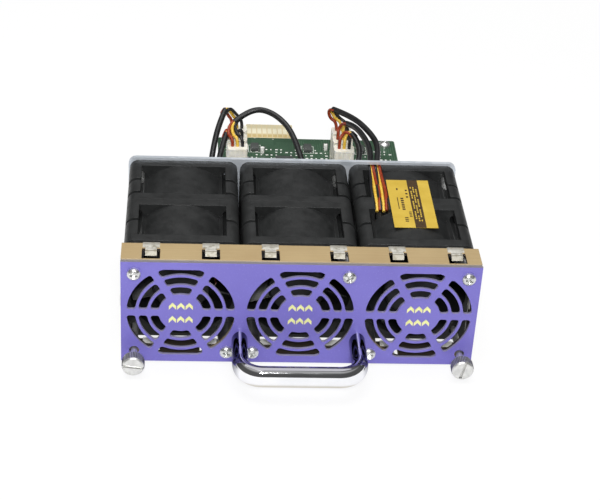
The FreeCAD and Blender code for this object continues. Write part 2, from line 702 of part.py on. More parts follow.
def fan_board():
    half = BOARD_W / 2
    panel = rounded(BOARD_X - half, BOARD_X + half, BOARD_FRONT, BOARD_REAR, BOARD_FOOT, BOARD_TOP,
                    1.0, V(0, 0, 1))
    tab = block(TAB_X - TAB_W / 2, TAB_X + TAB_W / 2, BOARD_REAR - 5, BOARD_REAR + TAB_L,
                BOARD_FOOT, BOARD_TOP)
    lead_in = [e for e in tab.Edges
               if abs(e.CenterOfMass.y - BOARD_REAR - TAB_L) < 1e-6 and abs(e.tangentAt(0).x) > 0.99]
    tab = tab.makeChamfer(0.4, lead_in)
    holes = [post(SCREW_D / 2, BOARD_FOOT - 1, BOARD_TOP + 1, x, y) for x, y in board_corners()]
    return panel.fuse(tab).removeSplitter().cut(Part.makeCompound(holes))


def edge_contacts():
    pitch = TAB_W / CONTACT_COUNT
    pads = []
    for i in range(CONTACT_COUNT):
        x = TAB_X + (i - (CONTACT_COUNT - 1) / 2) * pitch
        for z in (BOARD_TOP, BOARD_FOOT - CONTACT_T):
            pads.append(block(x - CONTACT_W / 2, x + CONTACT_W / 2, BOARD_REAR + 1, BOARD_REAR + TAB_L - 1.0,
                              z, z + CONTACT_T))
    return pads


def standoffs():
    """Tapped posts, each with a foot that is clinched into the shelf and ends flush under it."""
    pillars = []
    for x, y in board_corners():
        pillar = post(STANDOFF_D / 2, SHELF_TOP, BOARD_FOOT, x, y)
        foot = post(STANDOFF_FOOT_D / 2, BRACKET_FOOT, SHELF_TOP, x, y)
        pillars.append(pillar.fuse(foot).cut(post(SCREW_D / 2, SHELF_TOP, BOARD_FOOT, x, y)))
    return pillars


def board_screws():
    """Screws down through the board into each standoff."""
    screw = pan_screw(SCREW_D - 2 * SEAT, SCREW_HEAD_D, SCREW_HEAD_H, BOARD_T + STANDOFF_H * 0.4)
    screw.rotate(ORIGIN, V(1, 0, 0), -90)
    return [placed(screw, x, y, BOARD_TOP) for x, y in board_corners()]


def plug_places():
    """Where the six plugs stand on the board, by name."""
    places = {}
    for group, x in (("left", LEFT_GROUP), ("right", RIGHT_GROUP)):
        for row, y in zip(("front", "middle", "rear"), HEADER_Y):
            places[group + "_" + row] = (x, y)
    return places


def header(x, y):
    half_w = HEADER_W / 2
    half_d = HEADER_D / 2
    shell = block(x - half_w, x + half_w, y - half_d, y + half_d, BOARD_TOP, HEADER_TOP)
    well = block(x - half_w + HEADER_WALL, x + half_w - HEADER_WALL, y - half_d + HEADER_WALL,
                 y + half_d - HEADER_WALL, BOARD_TOP + HEADER_FLOOR, HEADER_TOP + 1)
    return shell.cut(well)


def plug(x, y):
    """Crimp housing: a tongue inside the header's well under a wider wire end."""
    half_w = HEADER_W / 2
    half_d = HEADER_D / 2
    inset = HEADER_WALL + SEAT
    tongue = block(x - half_w + inset, x + half_w - inset, y - half_d + inset, y + half_d - inset,
                   BOARD_TOP + HEADER_FLOOR, HEADER_TOP)
    cap = rounded(x - half_w, x + half_w, y - half_d, y + half_d, HEADER_TOP, PLUG_TOP,
                  PLUG_CORNER_R, V(0, 0, 1))
    return cap.fuse(tongue).removeSplitter()


def board_parts():
    """Controller chip, three drivers and three capacitors, seated on the board's top."""
    y = BOARD_FRONT + CHIP_ROW
    half = CHIP_W / 2
    parts = [block(-half, half, y - half, y + half, BOARD_TOP, BOARD_TOP + CHIP_H)]
    for i in range(3):
        x = DRIVER_FIRST + i * DRIVER_PITCH
        y = BOARD_FRONT + DRIVER_ROW
        parts.append(block(x - DRIVER_W / 2, x + DRIVER_W / 2, y - DRIVER_D / 2, y + DRIVER_D / 2,
                           BOARD_TOP, BOARD_TOP + DRIVER_H))
        x = CAPACITOR_FIRST + i * CAPACITOR_PITCH
        y = BOARD_FRONT + CAPACITOR_ROW
        parts.append(post(CAPACITOR_D / 2, BOARD_TOP, BOARD_TOP + CAPACITOR_H, x, y))
    return parts


# Leads: routes chosen by hand. Each has its bay, its place in the bay's notch and its plug, then
# steps from where it leaves the bracket and steps from the top of its plug.

LEAD_ROUTES = {
    "lead_left_a": ("left", "inner", "left_rear",
                    [V(-0.3, 8.0, 3.4), V(0.1, 17.0, 13.4)],
                    [V(-9.9, -16.6, -2.0), V(-7.4, -9.1, 7.0), V(-4.9, -4.1, 10.4)]),
    "lead_left_b": ("left", "outer", "left_middle",
                    [V(0.2, 7.0, 3.4), V(0.3, 17.0, 15.4)],
                    [V(-6.9, -9.1, -2.0), V(-4.3, -3.1, 3.4)]),
    "lead_middle_a": ("middle", "inner", "left_front",
                      [V(-0.3, 5.5, 6.4), V(-1.3, 11.0, 18.4)],
                      [V(22.1, -1.6, 7.0), V(14.1, 7.9, 11.2), V(5.1, 11.4, 11.0), V(-1.4, 6.9, 7.0)]),
    "lead_middle_b": ("middle", "outer", "right_front",
                      [V(1.6, 5.5, 7.4), V(8.3, 8.6, 18.4)],
                      [V(6.0, -6.6, -2.0), V(5.5, -1.6, 4.0), V(2.5, 0.9, 6.5)]),
    "lead_right_a": ("right", "outer", "right_middle",
                     [V(0.9, 8.0, 0.6), V(-0.8, 18.0, 1.1)],
                     [V(3.5, -7.1, 10.0), V(0.8, -0.6, 7.5)]),
    "lead_right_b": ("right", "inner", "right_rear",
                     [V(1.8, 10.0, 1.1), V(-0.7, 21.0, 1.6)],
                     [V(3.0, -8.6, 11.0), V(-4.0, -0.1, 9.5)]),
}


def lead_start(bay, strand):
    """Middle of a lead where it passes the bracket; the two leads of a bay lie side by side."""
    apart = 0.53 * LEAD_D
    side = apart - LEAD_SIDE if strand == "inner" else -apart - LEAD_SIDE
    rise = FAN_SIZE / 2 - LEAD_D / 2
    turn = 1.0 if LEAD_UP[bay] else -1.0
    return V(FAN_X[bay] + turn * side, BRACKET_REAR + LEAD_START, AXIS_Z + turn * rise)


def plug_top(name):
    x, y = plug_places()[LEAD_ROUTES[name][2]]
    return V(x, y, PLUG_TOP)


def lead_points(name):
    bay, strand, plug_name, leaving, arriving = LEAD_ROUTES[name]
    start = lead_start(FAN_NAMES.index(bay), strand)
    return [start] + [start + step for step in leaving] + [plug_top(name) + step for step in arriving]


def lead(name):
    path, bends = route(lead_points(name))
    sleeve = tube(path, LEAD_D)
    section = math.pi * LEAD_D ** 2 / 4
    print(name, "length", round(path.Length, 1), "radii", [round(b, 1) for b in bends],
          "volume share", round(sleeve.Volume / (section * path.Length), 3))
    return sleeve


def wire_between(start, finish):
    """A short six-sided stretch of one wire."""
    run = finish - start
    side = run.cross(V(0.3, 1, 0.2))
    side.normalize()
    other = run.cross(side)
    other.normalize()
    corners = []
    for i in range(6):
        angle = math.radians(60 * i)
        corners.append(start + (side * math.cos(angle) + other * math.sin(angle)) * (WIRE_D / 2))
    return Part.Face(Part.makePolygon(corners + corners[:1])).extrude(run)


def plug_wires():
    """Three wires, side by side, from just past each sleeve's end down to its plug."""
    wires = []
    for name in LEAD_ROUTES:
        before, end = lead_points(name)[-2:]
        heading = end - before
        heading.normalize()
        across = heading.cross(plug_top(name) - end)
        across = across * math.copysign(1 / across.Length, across.x)
        for step in (-1, 0, 1):
            top = end + heading * WIRE_RUN_OUT + across * (step * WIRE_D * 0.7)
            foot = plug_top(name) + V(step * HEADER_W / 4, 0, WIRE_D / 2)
            wires.append(wire_between(top, foot))
    return wires


def fan_wires():
    """The wires of both fans of each pair, from the notch where they meet to the bracket."""
    wires = []
    for bay in range(len(FAN_X)):
        turn = 1.0 if LEAD_UP[bay] else -1.0
        for strand in ("outer", "inner"):
            middle = lead_start(bay, strand)
            for step, drop in ((-1, 0.0), (0, WIRE_D), (1, 0.0)):
                x = middle.x + step * WIRE_D * 0.55
                z = middle.z + turn * (WIRE_D * 0.4 - drop)
                wires.append(wire_between(V(x, FAN_MEET + SEAT, z), V(x, middle.y - LEAD_D / 2, z)))
    return wires


def fan_label():
    x = FAN_X[2] + LABEL_SHIFT
    z = AXIS_Z + FAN_SIZE / 2
    return block(x - LABEL_W / 2, x + LABEL_W / 2, FAN_MEET - LABEL_L / 2, FAN_MEET + LABEL_L / 2,
                 z, z + LABEL_T)


# Build every sub-part and save it
os.makedirs("parts", exist_ok=True)
save("front_plate", front_plate())
save("contact_frame", contact_frame())
save("contact_springs_top", springs(0, [V(x, FRAME_REAR, PLATE_H) for x in SPRING_X]))
save("contact_springs_bottom", springs(180, [V(x, FRAME_REAR, 0) for x in SPRING_X]))
save("contact_springs_side", springs(90, [V(PLATE_W / 2, FRAME_REAR, AXIS_Z)])
     + springs(-90, [V(-PLATE_W / 2, FRAME_REAR, AXIS_Z)]))
save("handle", handle())
save("handle_screws", handle_screws())
save("fan_screws_front", front_screws())
save("fan_screws_rear", rear_screws())
save("fan_spacers", spacers())
for side_name, side, slot_turn in (("left", -1, 7.0), ("right", 1, 102.0)):
    save("thumbscrew_" + side_name, thumbscrew(side, slot_turn))
    save("thumbscrew_ring_" + side_name, retaining_ring(side))

halves = (("front", True, FRONT_BLADES, [FAN_HALF * 0.5], False),
          ("rear", False, REAR_BLADES, [FAN_HALF * 0.5, FAN_FLANGE + POST_GAP / 2], True))
still = {"shaft_bearings": [], "stator_cores": [], "stator_coils": [], "motor_boards": []}
for half_name, front, blades, gaps, outer_notch in halves:
    housing = fan_housing(gaps, outer_notch)
    rotor = impeller(blades)
    core = rotor_core()
    for bay, bay_name in enumerate(FAN_NAMES):
        save("fan_housing_" + bay_name + "_" + half_name, in_bay(housing, bay, front))
        save("impeller_" + bay_name + "_" + half_name, in_bay(rotor, bay, front))
        save("rotor_core_" + bay_name + "_" + half_name, [in_bay(piece, bay, front) for piece in core])
        still["shaft_bearings"] += [in_bay(piece, bay, front) for piece in bearings()]
        still["stator_cores"].append(in_bay(stator_core(), bay, front))
        still["stator_coils"] += [in_bay(piece, bay, front) for piece in stator_coils()]
        still["motor_boards"].append(in_bay(motor_board(), bay, front))
for name, pieces in still.items():
    save(name, pieces)

save("rear_bracket", rear_bracket())
save("fan_board", fan_board())
save("edge_contacts", edge_contacts())
save("board_standoffs", standoffs())
save("board_screws", board_screws())
save("board_headers", [header(x, y) for x, y in plug_places().values()])
save("lead_plugs", [plug(x, y) for x, y in plug_places().values()])
save("board_parts", board_parts())
for name in LEAD_ROUTES:
    save(name, lead(name))
save("plug_wires", plug_wires())
save("fan_wires", fan_wires())
save("fan_label", fan_label())
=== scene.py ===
import math
import bmesh
import bpy
from mathutils import Matrix, Vector


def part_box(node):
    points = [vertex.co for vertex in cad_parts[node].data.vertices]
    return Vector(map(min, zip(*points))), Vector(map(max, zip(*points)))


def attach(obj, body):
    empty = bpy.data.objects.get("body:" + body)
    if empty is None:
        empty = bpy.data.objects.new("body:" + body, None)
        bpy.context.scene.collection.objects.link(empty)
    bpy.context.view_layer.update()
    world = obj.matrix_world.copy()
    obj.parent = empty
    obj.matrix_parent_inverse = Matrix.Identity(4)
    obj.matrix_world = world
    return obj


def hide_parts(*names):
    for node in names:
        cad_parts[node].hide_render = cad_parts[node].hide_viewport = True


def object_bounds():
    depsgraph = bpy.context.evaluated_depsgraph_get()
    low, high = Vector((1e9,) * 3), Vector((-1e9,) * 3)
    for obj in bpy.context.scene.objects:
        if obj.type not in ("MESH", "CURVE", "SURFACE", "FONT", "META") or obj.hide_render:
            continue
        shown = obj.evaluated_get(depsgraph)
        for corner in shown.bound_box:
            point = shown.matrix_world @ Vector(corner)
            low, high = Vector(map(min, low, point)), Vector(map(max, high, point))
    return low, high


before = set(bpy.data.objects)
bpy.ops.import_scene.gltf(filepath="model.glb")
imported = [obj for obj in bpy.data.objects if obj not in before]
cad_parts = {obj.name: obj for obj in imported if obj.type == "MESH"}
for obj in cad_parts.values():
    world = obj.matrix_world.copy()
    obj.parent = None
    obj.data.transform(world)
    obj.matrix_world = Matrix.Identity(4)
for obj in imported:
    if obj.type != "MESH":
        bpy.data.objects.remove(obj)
cad_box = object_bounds()


# Front plate
# One flat steel sheet with three punched ring grilles, powder coated purple on its face.
# The coat thins out on the punched walls; the top edge is painted dark grey, painted shade in place of the
# light it catches.
MM = 0.001
plate_low, plate_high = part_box("front_plate")
PLATE_HEIGHT = (plate_high.z - plate_low.z) / MM
PLATE_WIDTH = (plate_high.x - plate_low.x) / MM
PLATE_DEPTH = (plate_high.y - plate_low.y) / MM
AXIS_Z = PLATE_HEIGHT / 2
FAN_PITCH = PLATE_WIDTH / 3
FAN_X = (-FAN_PITCH, 0.0, FAN_PITCH)
SHADED_TOP_EDGE = 0.05


def at(x, y, z):
    """A point in metres, from millimetres off the plate's middle, front face and lower edge."""
    return Vector((x * MM, plate_low.y + y * MM, plate_low.z + z * MM))


def shade(red, green, blue):
    """A colour read off a chart, 0 to 255, as linear light."""
    def linear(value):
        value = value / 255
        return value / 12.92 if value <= 0.04045 else ((value + 0.055) / 1.055) ** 2.4
    return (linear(red), linear(green), linear(blue), 1.0)


def shader_of(material):
    return material.node_tree.nodes["Principled BSDF"]


def new_finish(name, metal=0.0):
    material = bpy.data.materials.new(name)
    material.use_nodes = True
    shader_of(material).inputs["Metallic"].default_value = metal
    return material


def add_node(material, kind, **values):
    """A node with its inputs set by name, where an underscore stands for a space."""
    made = material.node_tree.nodes.new(kind)
    for name, value in values.items():
        made.inputs[name.replace("_", " ")].default_value = value
    return made


def lead_to(material, start, end):
    material.node_tree.links.new(start, end)


def own_place(material, size, stretch=(1, 1, 1)):
    """The piece's own coordinates, scaled so that one unit is this size in metres."""
    place = add_node(material, "ShaderNodeTexCoord")
    scaled = add_node(material, "ShaderNodeMapping", Scale=[s / size for s in stretch])
    lead_to(material, place.outputs["Object"], scaled.inputs["Vector"])
    return scaled.outputs["Vector"]


def along(material, axis, size=MM):
    """Where a point lies along one axis of the piece, counted in this size in metres."""
    parts = add_node(material, "ShaderNodeSeparateXYZ")
    lead_to(material, own_place(material, size), parts.inputs["Vector"])
    return parts.outputs[axis]


def spread(material, value, low, high, to_low=0.0, to_high=1.0):
    """Carry a value from one range to another, held at the ends."""
    ranged = add_node(material, "ShaderNodeMapRange", From_Min=low, From_Max=high,
                      To_Min=to_low, To_Max=to_high)
    lead_to(material, value, ranged.inputs["Value"])
    return ranged.outputs["Result"]


def clouds(material, size, stretch=(1, 1, 1), detail=4.0):
    """A soft random pattern from 0 to 1, with marks about this size in metres."""
    noise = add_node(material, "ShaderNodeTexNoise", Scale=1.0, Detail=detail)
    lead_to(material, own_place(material, size, stretch), noise.inputs["Vector"])
    return spread(material, noise.outputs["Fac"], 0.3, 0.7)


def mix_colour(material, amount, first, second):
    mixed = material.node_tree.nodes.new("ShaderNodeMix")
    mixed.data_type = "RGBA"
    lead_to(material, amount, mixed.inputs[0])
    for socket, colour in ((mixed.inputs[6], first), (mixed.inputs[7], second)):
        if isinstance(colour, tuple):
            socket.default_value = colour
        else:
            lead_to(material, colour, socket)
    return mixed.outputs[2]


def calculate(material, operation, first, second):
    made = material.node_tree.nodes.new("ShaderNodeMath")
    made.operation = operation
    for socket, value in zip(made.inputs, (first, second)):
        if isinstance(value, (int, float)):
            socket.default_value = value
        else:
            lead_to(material, value, socket)
    return made.outputs[0]


def paint(material, colour):
    lead_to(material, colour, shader_of(material).inputs["Base Color"])


def roughen(material, pattern, low, high):
    ranged = spread(material, pattern, 0.0, 1.0, low, high)
    lead_to(material, ranged, shader_of(material).inputs["Roughness"])


def raise_surface(material, height, depth, edge=0.0):
    """Relief of this depth in metres, from a pattern of heights, with edges softened to a radius."""
    bump = add_node(material, "ShaderNodeBump", Distance=depth)
    lead_to(material, height, bump.inputs["Height"])
    if edge:
        soft = add_node(material, "ShaderNodeBevel", Radius=edge)
        lead_to(material, soft.outputs["Normal"], bump.inputs["Normal"])
    lead_to(material, bump.outputs["Normal"], shader_of(material).inputs["Normal"])


def facing(material, axis):
    """How squarely the surface faces along one axis of the piece, from 0 to 1."""
    place = add_node(material, "ShaderNodeTexCoord")
    parts = add_node(material, "ShaderNodeSeparateXYZ")
    lead_to(material, place.outputs["Normal"], parts.inputs["Vector"])
    return calculate(material, "ABSOLUTE", parts.outputs[axis], 0.0)


def dress(finish, *names):
    """Give CAD nodes this finish."""
    for name in names:
        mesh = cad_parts[name].data
        mesh.materials.clear()
        mesh.materials.append(finish)


def purple_coat():
    coat = new_finish("purple_coat")
    face = mix_colour(coat, clouds(coat, 0.03), shade(113, 104, 188), shade(122, 114, 199))
    flecks = spread(coat, clouds(coat, 0.0007), 0.72, 1.0, 0.0, 0.35)
    flecked = mix_colour(coat, flecks, face, shade(146, 140, 214))
    # The topmost face is painted dark grey as painted shade, so the lit top edge reads as a dark line.
    at_top = calculate(coat, "GREATER_THAN", along(coat, "Z"), plate_high.z / MM - SHADED_TOP_EDGE)
    wall = mix_colour(coat, at_top, shade(158, 153, 188), shade(126, 120, 128))
    onto_face = spread(coat, facing(coat, "Y"), 0.4, 0.9)
    paint(coat, mix_colour(coat, onto_face, wall, flecked))
    roughen(coat, clouds(coat, 0.004), 0.34, 0.48)
    raise_surface(coat, clouds(coat, 0.0009, detail=2.0), 0.000012, 0.00015)
    return coat


dress(purple_coat(), "front_plate")


# Grille marks
# A pale yellow screen print on the blank disc in the middle of each ring grille.
# The sign is two rows of chevrons for moving air, laid on as a film of ink.
INK = 0.04
CHEVRON_W = 2.5
CHEVRON_H = 2.9
CHEVRON_STROKE = 1.5
CHEVRON_PITCH = 2.85
MARK_ROW = 2.75


def new_piece(name, mesh, finishes, body="tray"):
    """An object for a mesh, with its finishes, that moves with a body."""
    piece = bpy.data.objects.new(name, mesh)
    bpy.context.scene.collection.objects.link(piece)
    for finish in finishes:
        mesh.materials.append(finish)
    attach(piece, body)
    return piece


def to_mesh(name, form, sharp=30.0):
    """Close a bmesh into a mesh that is smooth up to the sharp angle."""
    bmesh.ops.recalc_face_normals(form, faces=form.faces)
    mesh = bpy.data.meshes.new(name)
    form.to_mesh(mesh)
    form.free()
    mesh.polygons.foreach_set("use_smooth", [True] * len(mesh.polygons))
    mesh.set_sharp_from_angle(angle=math.radians(sharp))
    return mesh


def slab(form, outline, depth):
    """A flat outline, a list of points, pushed along a vector into a closed solid."""
    front = [form.verts.new(point) for point in outline]
    back = [form.verts.new(point + depth) for point in outline]
    faces = [form.faces.new(front), form.faces.new(list(reversed(back)))]
    for i in range(len(outline)):
        j = (i + 1) % len(outline)
        faces.append(form.faces.new((front[j], front[i], back[i], back[j])))
    return faces


def ink_yellow():
    ink = new_finish("ink_yellow")
    worn = clouds(ink, 0.0008)
    paint(ink, mix_colour(ink, worn, shade(226, 225, 146), shade(242, 241, 176)))
    roughen(ink, clouds(ink, 0.002), 0.42, 0.58)
    raise_surface(ink, clouds(ink, 0.0004, detail=2.0), 0.000006)
    return ink


def grille_marks():
    form = bmesh.new()
    half = CHEVRON_W / 2
    for fan_x in FAN_X:
        for row in (-1, 1):
            for step in (-1, 0, 1):
                x = fan_x + step * CHEVRON_PITCH
                foot = AXIS_Z + row * MARK_ROW - CHEVRON_H / 2
                tip = foot + CHEVRON_H
                outline = [(x - half, foot), (x, tip - CHEVRON_STROKE), (x + half, foot),
                           (x + half, foot + CHEVRON_STROKE), (x, tip), (x - half, foot + CHEVRON_STROKE)]
                slab(form, [at(px, 0, pz) for px, pz in outline], Vector((0, -INK * MM, 0)))
    return to_mesh("grille_marks", form)


new_piece("grille_marks", grille_marks(), [ink_yellow()])


# Contact frame
# A pan folded from bare sheet behind the plate; its four flanges face the rack's walls.
# Yellow chromate gives the tan colour, with faint rolling lines; folds and inner faces are painted darker,
# as painted shade.
def chromate_sheet():
    sheet = new_finish("chromate_sheet", 0.35)
    lines = clouds(sheet, 0.0006, stretch=(0.03, 1, 1))
    stain = clouds(sheet, 0.018)
    tan = mix_colour(sheet, stain, shade(196, 170, 126), shade(208, 184, 138))
    rolled = mix_colour(sheet, spread(sheet, lines, 0.0, 1.0, 0.0, 0.3), tan, shade(178, 150, 108))
    place = add_node(sheet, "ShaderNodeTexCoord")
    outward = add_node(sheet, "ShaderNodeVectorMath")
    outward.operation = "SUBTRACT"
    outward.inputs[1].default_value = at(0, PLATE_DEPTH, AXIS_Z)
    lead_to(sheet, place.outputs["Object"], outward.inputs[0])
    turned_out = add_node(sheet, "ShaderNodeVectorMath")
    turned_out.operation = "DOT_PRODUCT"
    lead_to(sheet, outward.outputs["Vector"], turned_out.inputs[0])
    lead_to(sheet, place.outputs["Normal"], turned_out.inputs[1])
    # Faces turned inward are painted dark brown and the folds greyish brown: painted shade, not a change
    # in the metal.
    shaded_inside = calculate(sheet, "LESS_THAN", turned_out.outputs["Value"], 0.0)
    at_fold = spread(sheet, facing(sheet, "Y"), 0.05, 0.4)
    fold_shaded = mix_colour(sheet, at_fold, rolled, shade(124, 116, 108))
    paint(sheet, mix_colour(sheet, shaded_inside, fold_shaded, shade(74, 66, 58)))
    roughen(sheet, lines, 0.36, 0.5)
    raise_surface(sheet, lines, 0.000006, 0.0002)
    return sheet


dress(chromate_sheet(), "contact_frame")


# Contact springs
# Clips of thin tinned spring strip, hooked over the flanges' rear edges, each tongue creased at its crest.
# The top row has stain specks and painted shade: darker at the hook, past the crest and in a dark line
# along the crease. The bottom and side rows are painted near white, a painted highlight.
FRAME_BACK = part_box("contact_frame")[1].y / MM
HOOK_START = 0.6
HOOK_END = 2.2
CREST = 5.3
CREST_BLEND = 0.4
CREASE_CORE = 0.12
CREASE_EDGE = 0.3


def spring_strip():
    strip = new_finish("spring_strip", 0.4)
    wiped = clouds(strip, 0.0008, stretch=(1, 0.15, 1))
    tinned = mix_colour(strip, wiped, shade(206, 203, 192), shade(224, 221, 213))
    # Darker toward the hook, past the crest and in a line along the crease: painted shade.
    forward = calculate(strip, "SUBTRACT", FRAME_BACK, along(strip, "Y"))
    at_hook = spread(strip, forward, HOOK_START, HOOK_END, 0.8, 0.0)
    past_crest = spread(strip, forward, CREST - CREST_BLEND, CREST + CREST_BLEND, 0.0, 0.7)
    hooked = mix_colour(strip, at_hook, tinned, shade(160, 156, 146))
    tongue_shaded = mix_colour(strip, past_crest, hooked, shade(168, 163, 148))
    specks = spread(strip, clouds(strip, 0.0016), 0.5, 0.85, 0.0, 0.75)
    shaded_and_stained = mix_colour(strip, specks, tongue_shaded, shade(146, 139, 120))
    off_crest = calculate(strip, "ABSOLUTE", calculate(strip, "SUBTRACT", forward, CREST), 0.0)
    crease = spread(strip, off_crest, CREASE_CORE, CREASE_EDGE, 0.8, 0.0)
    paint(strip, mix_colour(strip, crease, shaded_and_stained, shade(112, 105, 88)))
    roughen(strip, wiped, 0.5, 0.62)
    raise_surface(strip, wiped, 0.000005)
    return strip


def grained(name, metal, size, stretch, tones, rough, relief):
    """A finish whose tone, gloss and relief all follow one random grain."""
    finish = new_finish(name, metal)
    grain = clouds(finish, size, stretch)
    paint(finish, mix_colour(finish, grain, *tones))
    roughen(finish, grain, *rough)
    raise_surface(finish, grain, relief)
    return finish


# The bottom and side rows get a near-white copy of the strip, a painted highlight in place of the lamp's
# glint.
painted_lit_strip = grained("painted_lit_strip", 0.15, 0.0008, (1, 0.15, 1),
                      (shade(238, 237, 231), shade(252, 251, 247)), (0.42, 0.56), 0.000005)
dress(spring_strip(), "contact_springs_top")
dress(painted_lit_strip, "contact_springs_bottom", "contact_springs_side")


# Handle
# An oval steel bar bent to a U and chrome plated, held by a screw up each leg.
# The chrome's colour carries painted reflections: dark toward the legs' ends with a painted highlight
# streak along their tops, a darker band on the bar's top a little to the front, and a pale beige band
# beneath.
DIM_REFLECTION_SIDE = (0.0, -0.259, 0.966)
LOWER_SIDE = (0.0, -0.537, -0.843)
DARK_LEGS_START = -19.5
DARK_LEGS_END = -15.0


def turned_to(material, direction, low, high):
    """From 0 to 1 as the surface's normal comes near a direction, between two cosines."""
    place = add_node(material, "ShaderNodeTexCoord")
    toward = add_node(material, "ShaderNodeVectorMath")
    toward.operation = "DOT_PRODUCT"
    toward.inputs[1].default_value = direction
    lead_to(material, place.outputs["Normal"], toward.inputs[0])
    return spread(material, toward.outputs["Value"], low, high)


def fade_back(material, start, end):
    """From 0 to 1 between two depths, in millimetres behind the plate's face."""
    return spread(material, along(material, "Y", 1.0), at(0, start, 0).y, at(0, end, 0).y)


def handle_chrome():
    chrome = new_finish("handle_chrome", 1.0)
    scratches = clouds(chrome, 0.0009, stretch=(0.2, 1, 1), detail=8.0)
    bright = mix_colour(chrome, clouds(chrome, 0.01), shade(238, 239, 242), shade(248, 248, 250))
    # Painted reflections: dark legs with a bright streak on top, a darker band on the bar's top and a pale
    # beige band below it.
    dark_legs = fade_back(chrome, DARK_LEGS_START, DARK_LEGS_END)
    top = spread(chrome, facing(chrome, "Z"), 0.955, 0.995)
    legs_with_streak = mix_colour(chrome, top, shade(92, 93, 108), shade(236, 236, 244))
    with_painted_reflection = mix_colour(chrome, turned_to(chrome, DIM_REFLECTION_SIDE, 0.89, 0.94), bright, shade(118, 117, 122))
    bar_with_lower_band = mix_colour(chrome, turned_to(chrome, LOWER_SIDE, 0.72, 0.88), with_painted_reflection, shade(212, 206, 192))
    paint(chrome, mix_colour(chrome, dark_legs, bar_with_lower_band, legs_with_streak))
    roughen(chrome, scratches, 0.04, 0.08)
    raise_surface(chrome, scratches, 0.0000008)
    return chrome


dress(handle_chrome(), "handle")


# Screws and spacers
# Zinc plated pan head screws with cross recesses hold the fans, the handle and the board.
# Turned aluminium tubes keep the fans clear of the contact frame.
def bright_zinc():
    zinc = new_finish("bright_zinc", 0.9)
    blotch = clouds(zinc, 0.0012)
    paint(zinc, mix_colour(zinc, blotch, shade(206, 207, 206), shade(234, 235, 232)))
    roughen(zinc, clouds(zinc, 0.0005), 0.2, 0.36)
    raise_surface(zinc, clouds(zinc, 0.0004), 0.000006)
    return zinc


zinc = bright_zinc()
turned_aluminium = grained("turned_aluminium", 1.0, 0.0005, (0.1, 1, 0.1),
                           (shade(190, 191, 194), shade(214, 215, 218)), (0.28, 0.45), 0.000008)
dress(zinc, "fan_screws_front", "fan_screws_rear", "handle_screws", "board_screws")
dress(turned_aluminium, "fan_spacers")


# Thumbscrews
# Long nickel plated screws with slotted, straight-knurled knobs; a snap ring keeps each captive.
# The knob's face is turned, the knurl is rolled on, and the far end has a metric thread.
KNOB_TEETH = 40
POINTS_PER_TOOTH = 3
KNURL_ROOT = 3.7
KNURL_TIP = 3.92
KNURL_BORE = 3.4
KNURL_EDGE = 0.5
KNURL_SLOPE = 0.22
KNOB_FRONT = -10.0
KNOB_BACK = -5.6
THREAD_PITCH = 0.5
THREAD_START = 73.0
THREAD_STRENGTH = 19.0
TOOL_MARK = 0.9


def turned_nickel(side):
    nickel = new_finish("turned_nickel_" + side, 0.85)
    low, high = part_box("thumbscrew_" + side)
    axis = [(low.x + high.x) / 2, 0.0, (low.z + high.z) / 2]
    place = add_node(nickel, "ShaderNodeTexCoord")
    centred = add_node(nickel, "ShaderNodeVectorMath")
    centred.operation = "SUBTRACT"
    centred.inputs[1].default_value = axis
    lead_to(nickel, place.outputs["Object"], centred.inputs[0])
    parts = add_node(nickel, "ShaderNodeSeparateXYZ")
    lead_to(nickel, centred.outputs["Vector"], parts.inputs["Vector"])
    rings = add_node(nickel, "ShaderNodeTexWave", Scale=1.0 / (TOOL_MARK * MM), Distortion=1.5, Detail=2.0)
    rings.wave_type = "RINGS"
    rings.rings_direction = "Y"
    lead_to(nickel, centred.outputs["Vector"], rings.inputs["Vector"])
    turns = calculate(nickel, "MULTIPLY", parts.outputs["Y"], 2 * math.pi / (THREAD_PITCH * MM))
    thread = calculate(nickel, "SINE", turns, 0.0)
    threaded = calculate(nickel, "GREATER_THAN", parts.outputs["Y"], at(0, THREAD_START, 0).y)
    cut = calculate(nickel, "MULTIPLY", calculate(nickel, "MULTIPLY", thread, threaded), THREAD_STRENGTH)
    relief = calculate(nickel, "ADD", rings.outputs["Fac"], cut)
    paint(nickel, mix_colour(nickel, clouds(nickel, 0.002), shade(205, 205, 203), shade(232, 232, 229)))
    roughen(nickel, clouds(nickel, 0.0007), 0.3, 0.42)
    raise_surface(nickel, relief, 0.000005)
    return nickel


def knurl_band(side):
    """A ring of straight ridges round the knob, sloped off at both ends."""
    low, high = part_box("thumbscrew_" + side)
    middle_x = (low.x + high.x) / 2 / MM
    middle_z = ((low.z + high.z) / 2 - plate_low.z) / MM
    front = KNOB_FRONT + KNURL_EDGE
    back = KNOB_BACK - KNURL_EDGE
    lanes = ((front, KNURL_ROOT, KNURL_ROOT), (front + KNURL_SLOPE, KNURL_ROOT, KNURL_TIP),
             (back - KNURL_SLOPE, KNURL_ROOT, KNURL_TIP), (back, KNURL_ROOT, KNURL_ROOT),
             (back, KNURL_BORE, KNURL_BORE), (front, KNURL_BORE, KNURL_BORE))
    steps = POINTS_PER_TOOTH * KNOB_TEETH
    form = bmesh.new()
    rows = []
    for y, valley, ridge in lanes:
        row = []
        for i in range(steps):
            radius = valley if i % POINTS_PER_TOOTH else ridge
            angle = 2 * math.pi * i / steps
            row.append(form.verts.new(at(middle_x + radius * math.cos(angle), y,
                                         middle_z + radius * math.sin(angle))))
        rows.append(row)
    for this, following in zip(rows, rows[1:] + rows[:1]):
        for i in range(steps):
            j = (i + 1) % steps
            form.faces.new((this[i], this[j], following[j], following[i]))
    return to_mesh("knurl_" + side, form, 25.0)


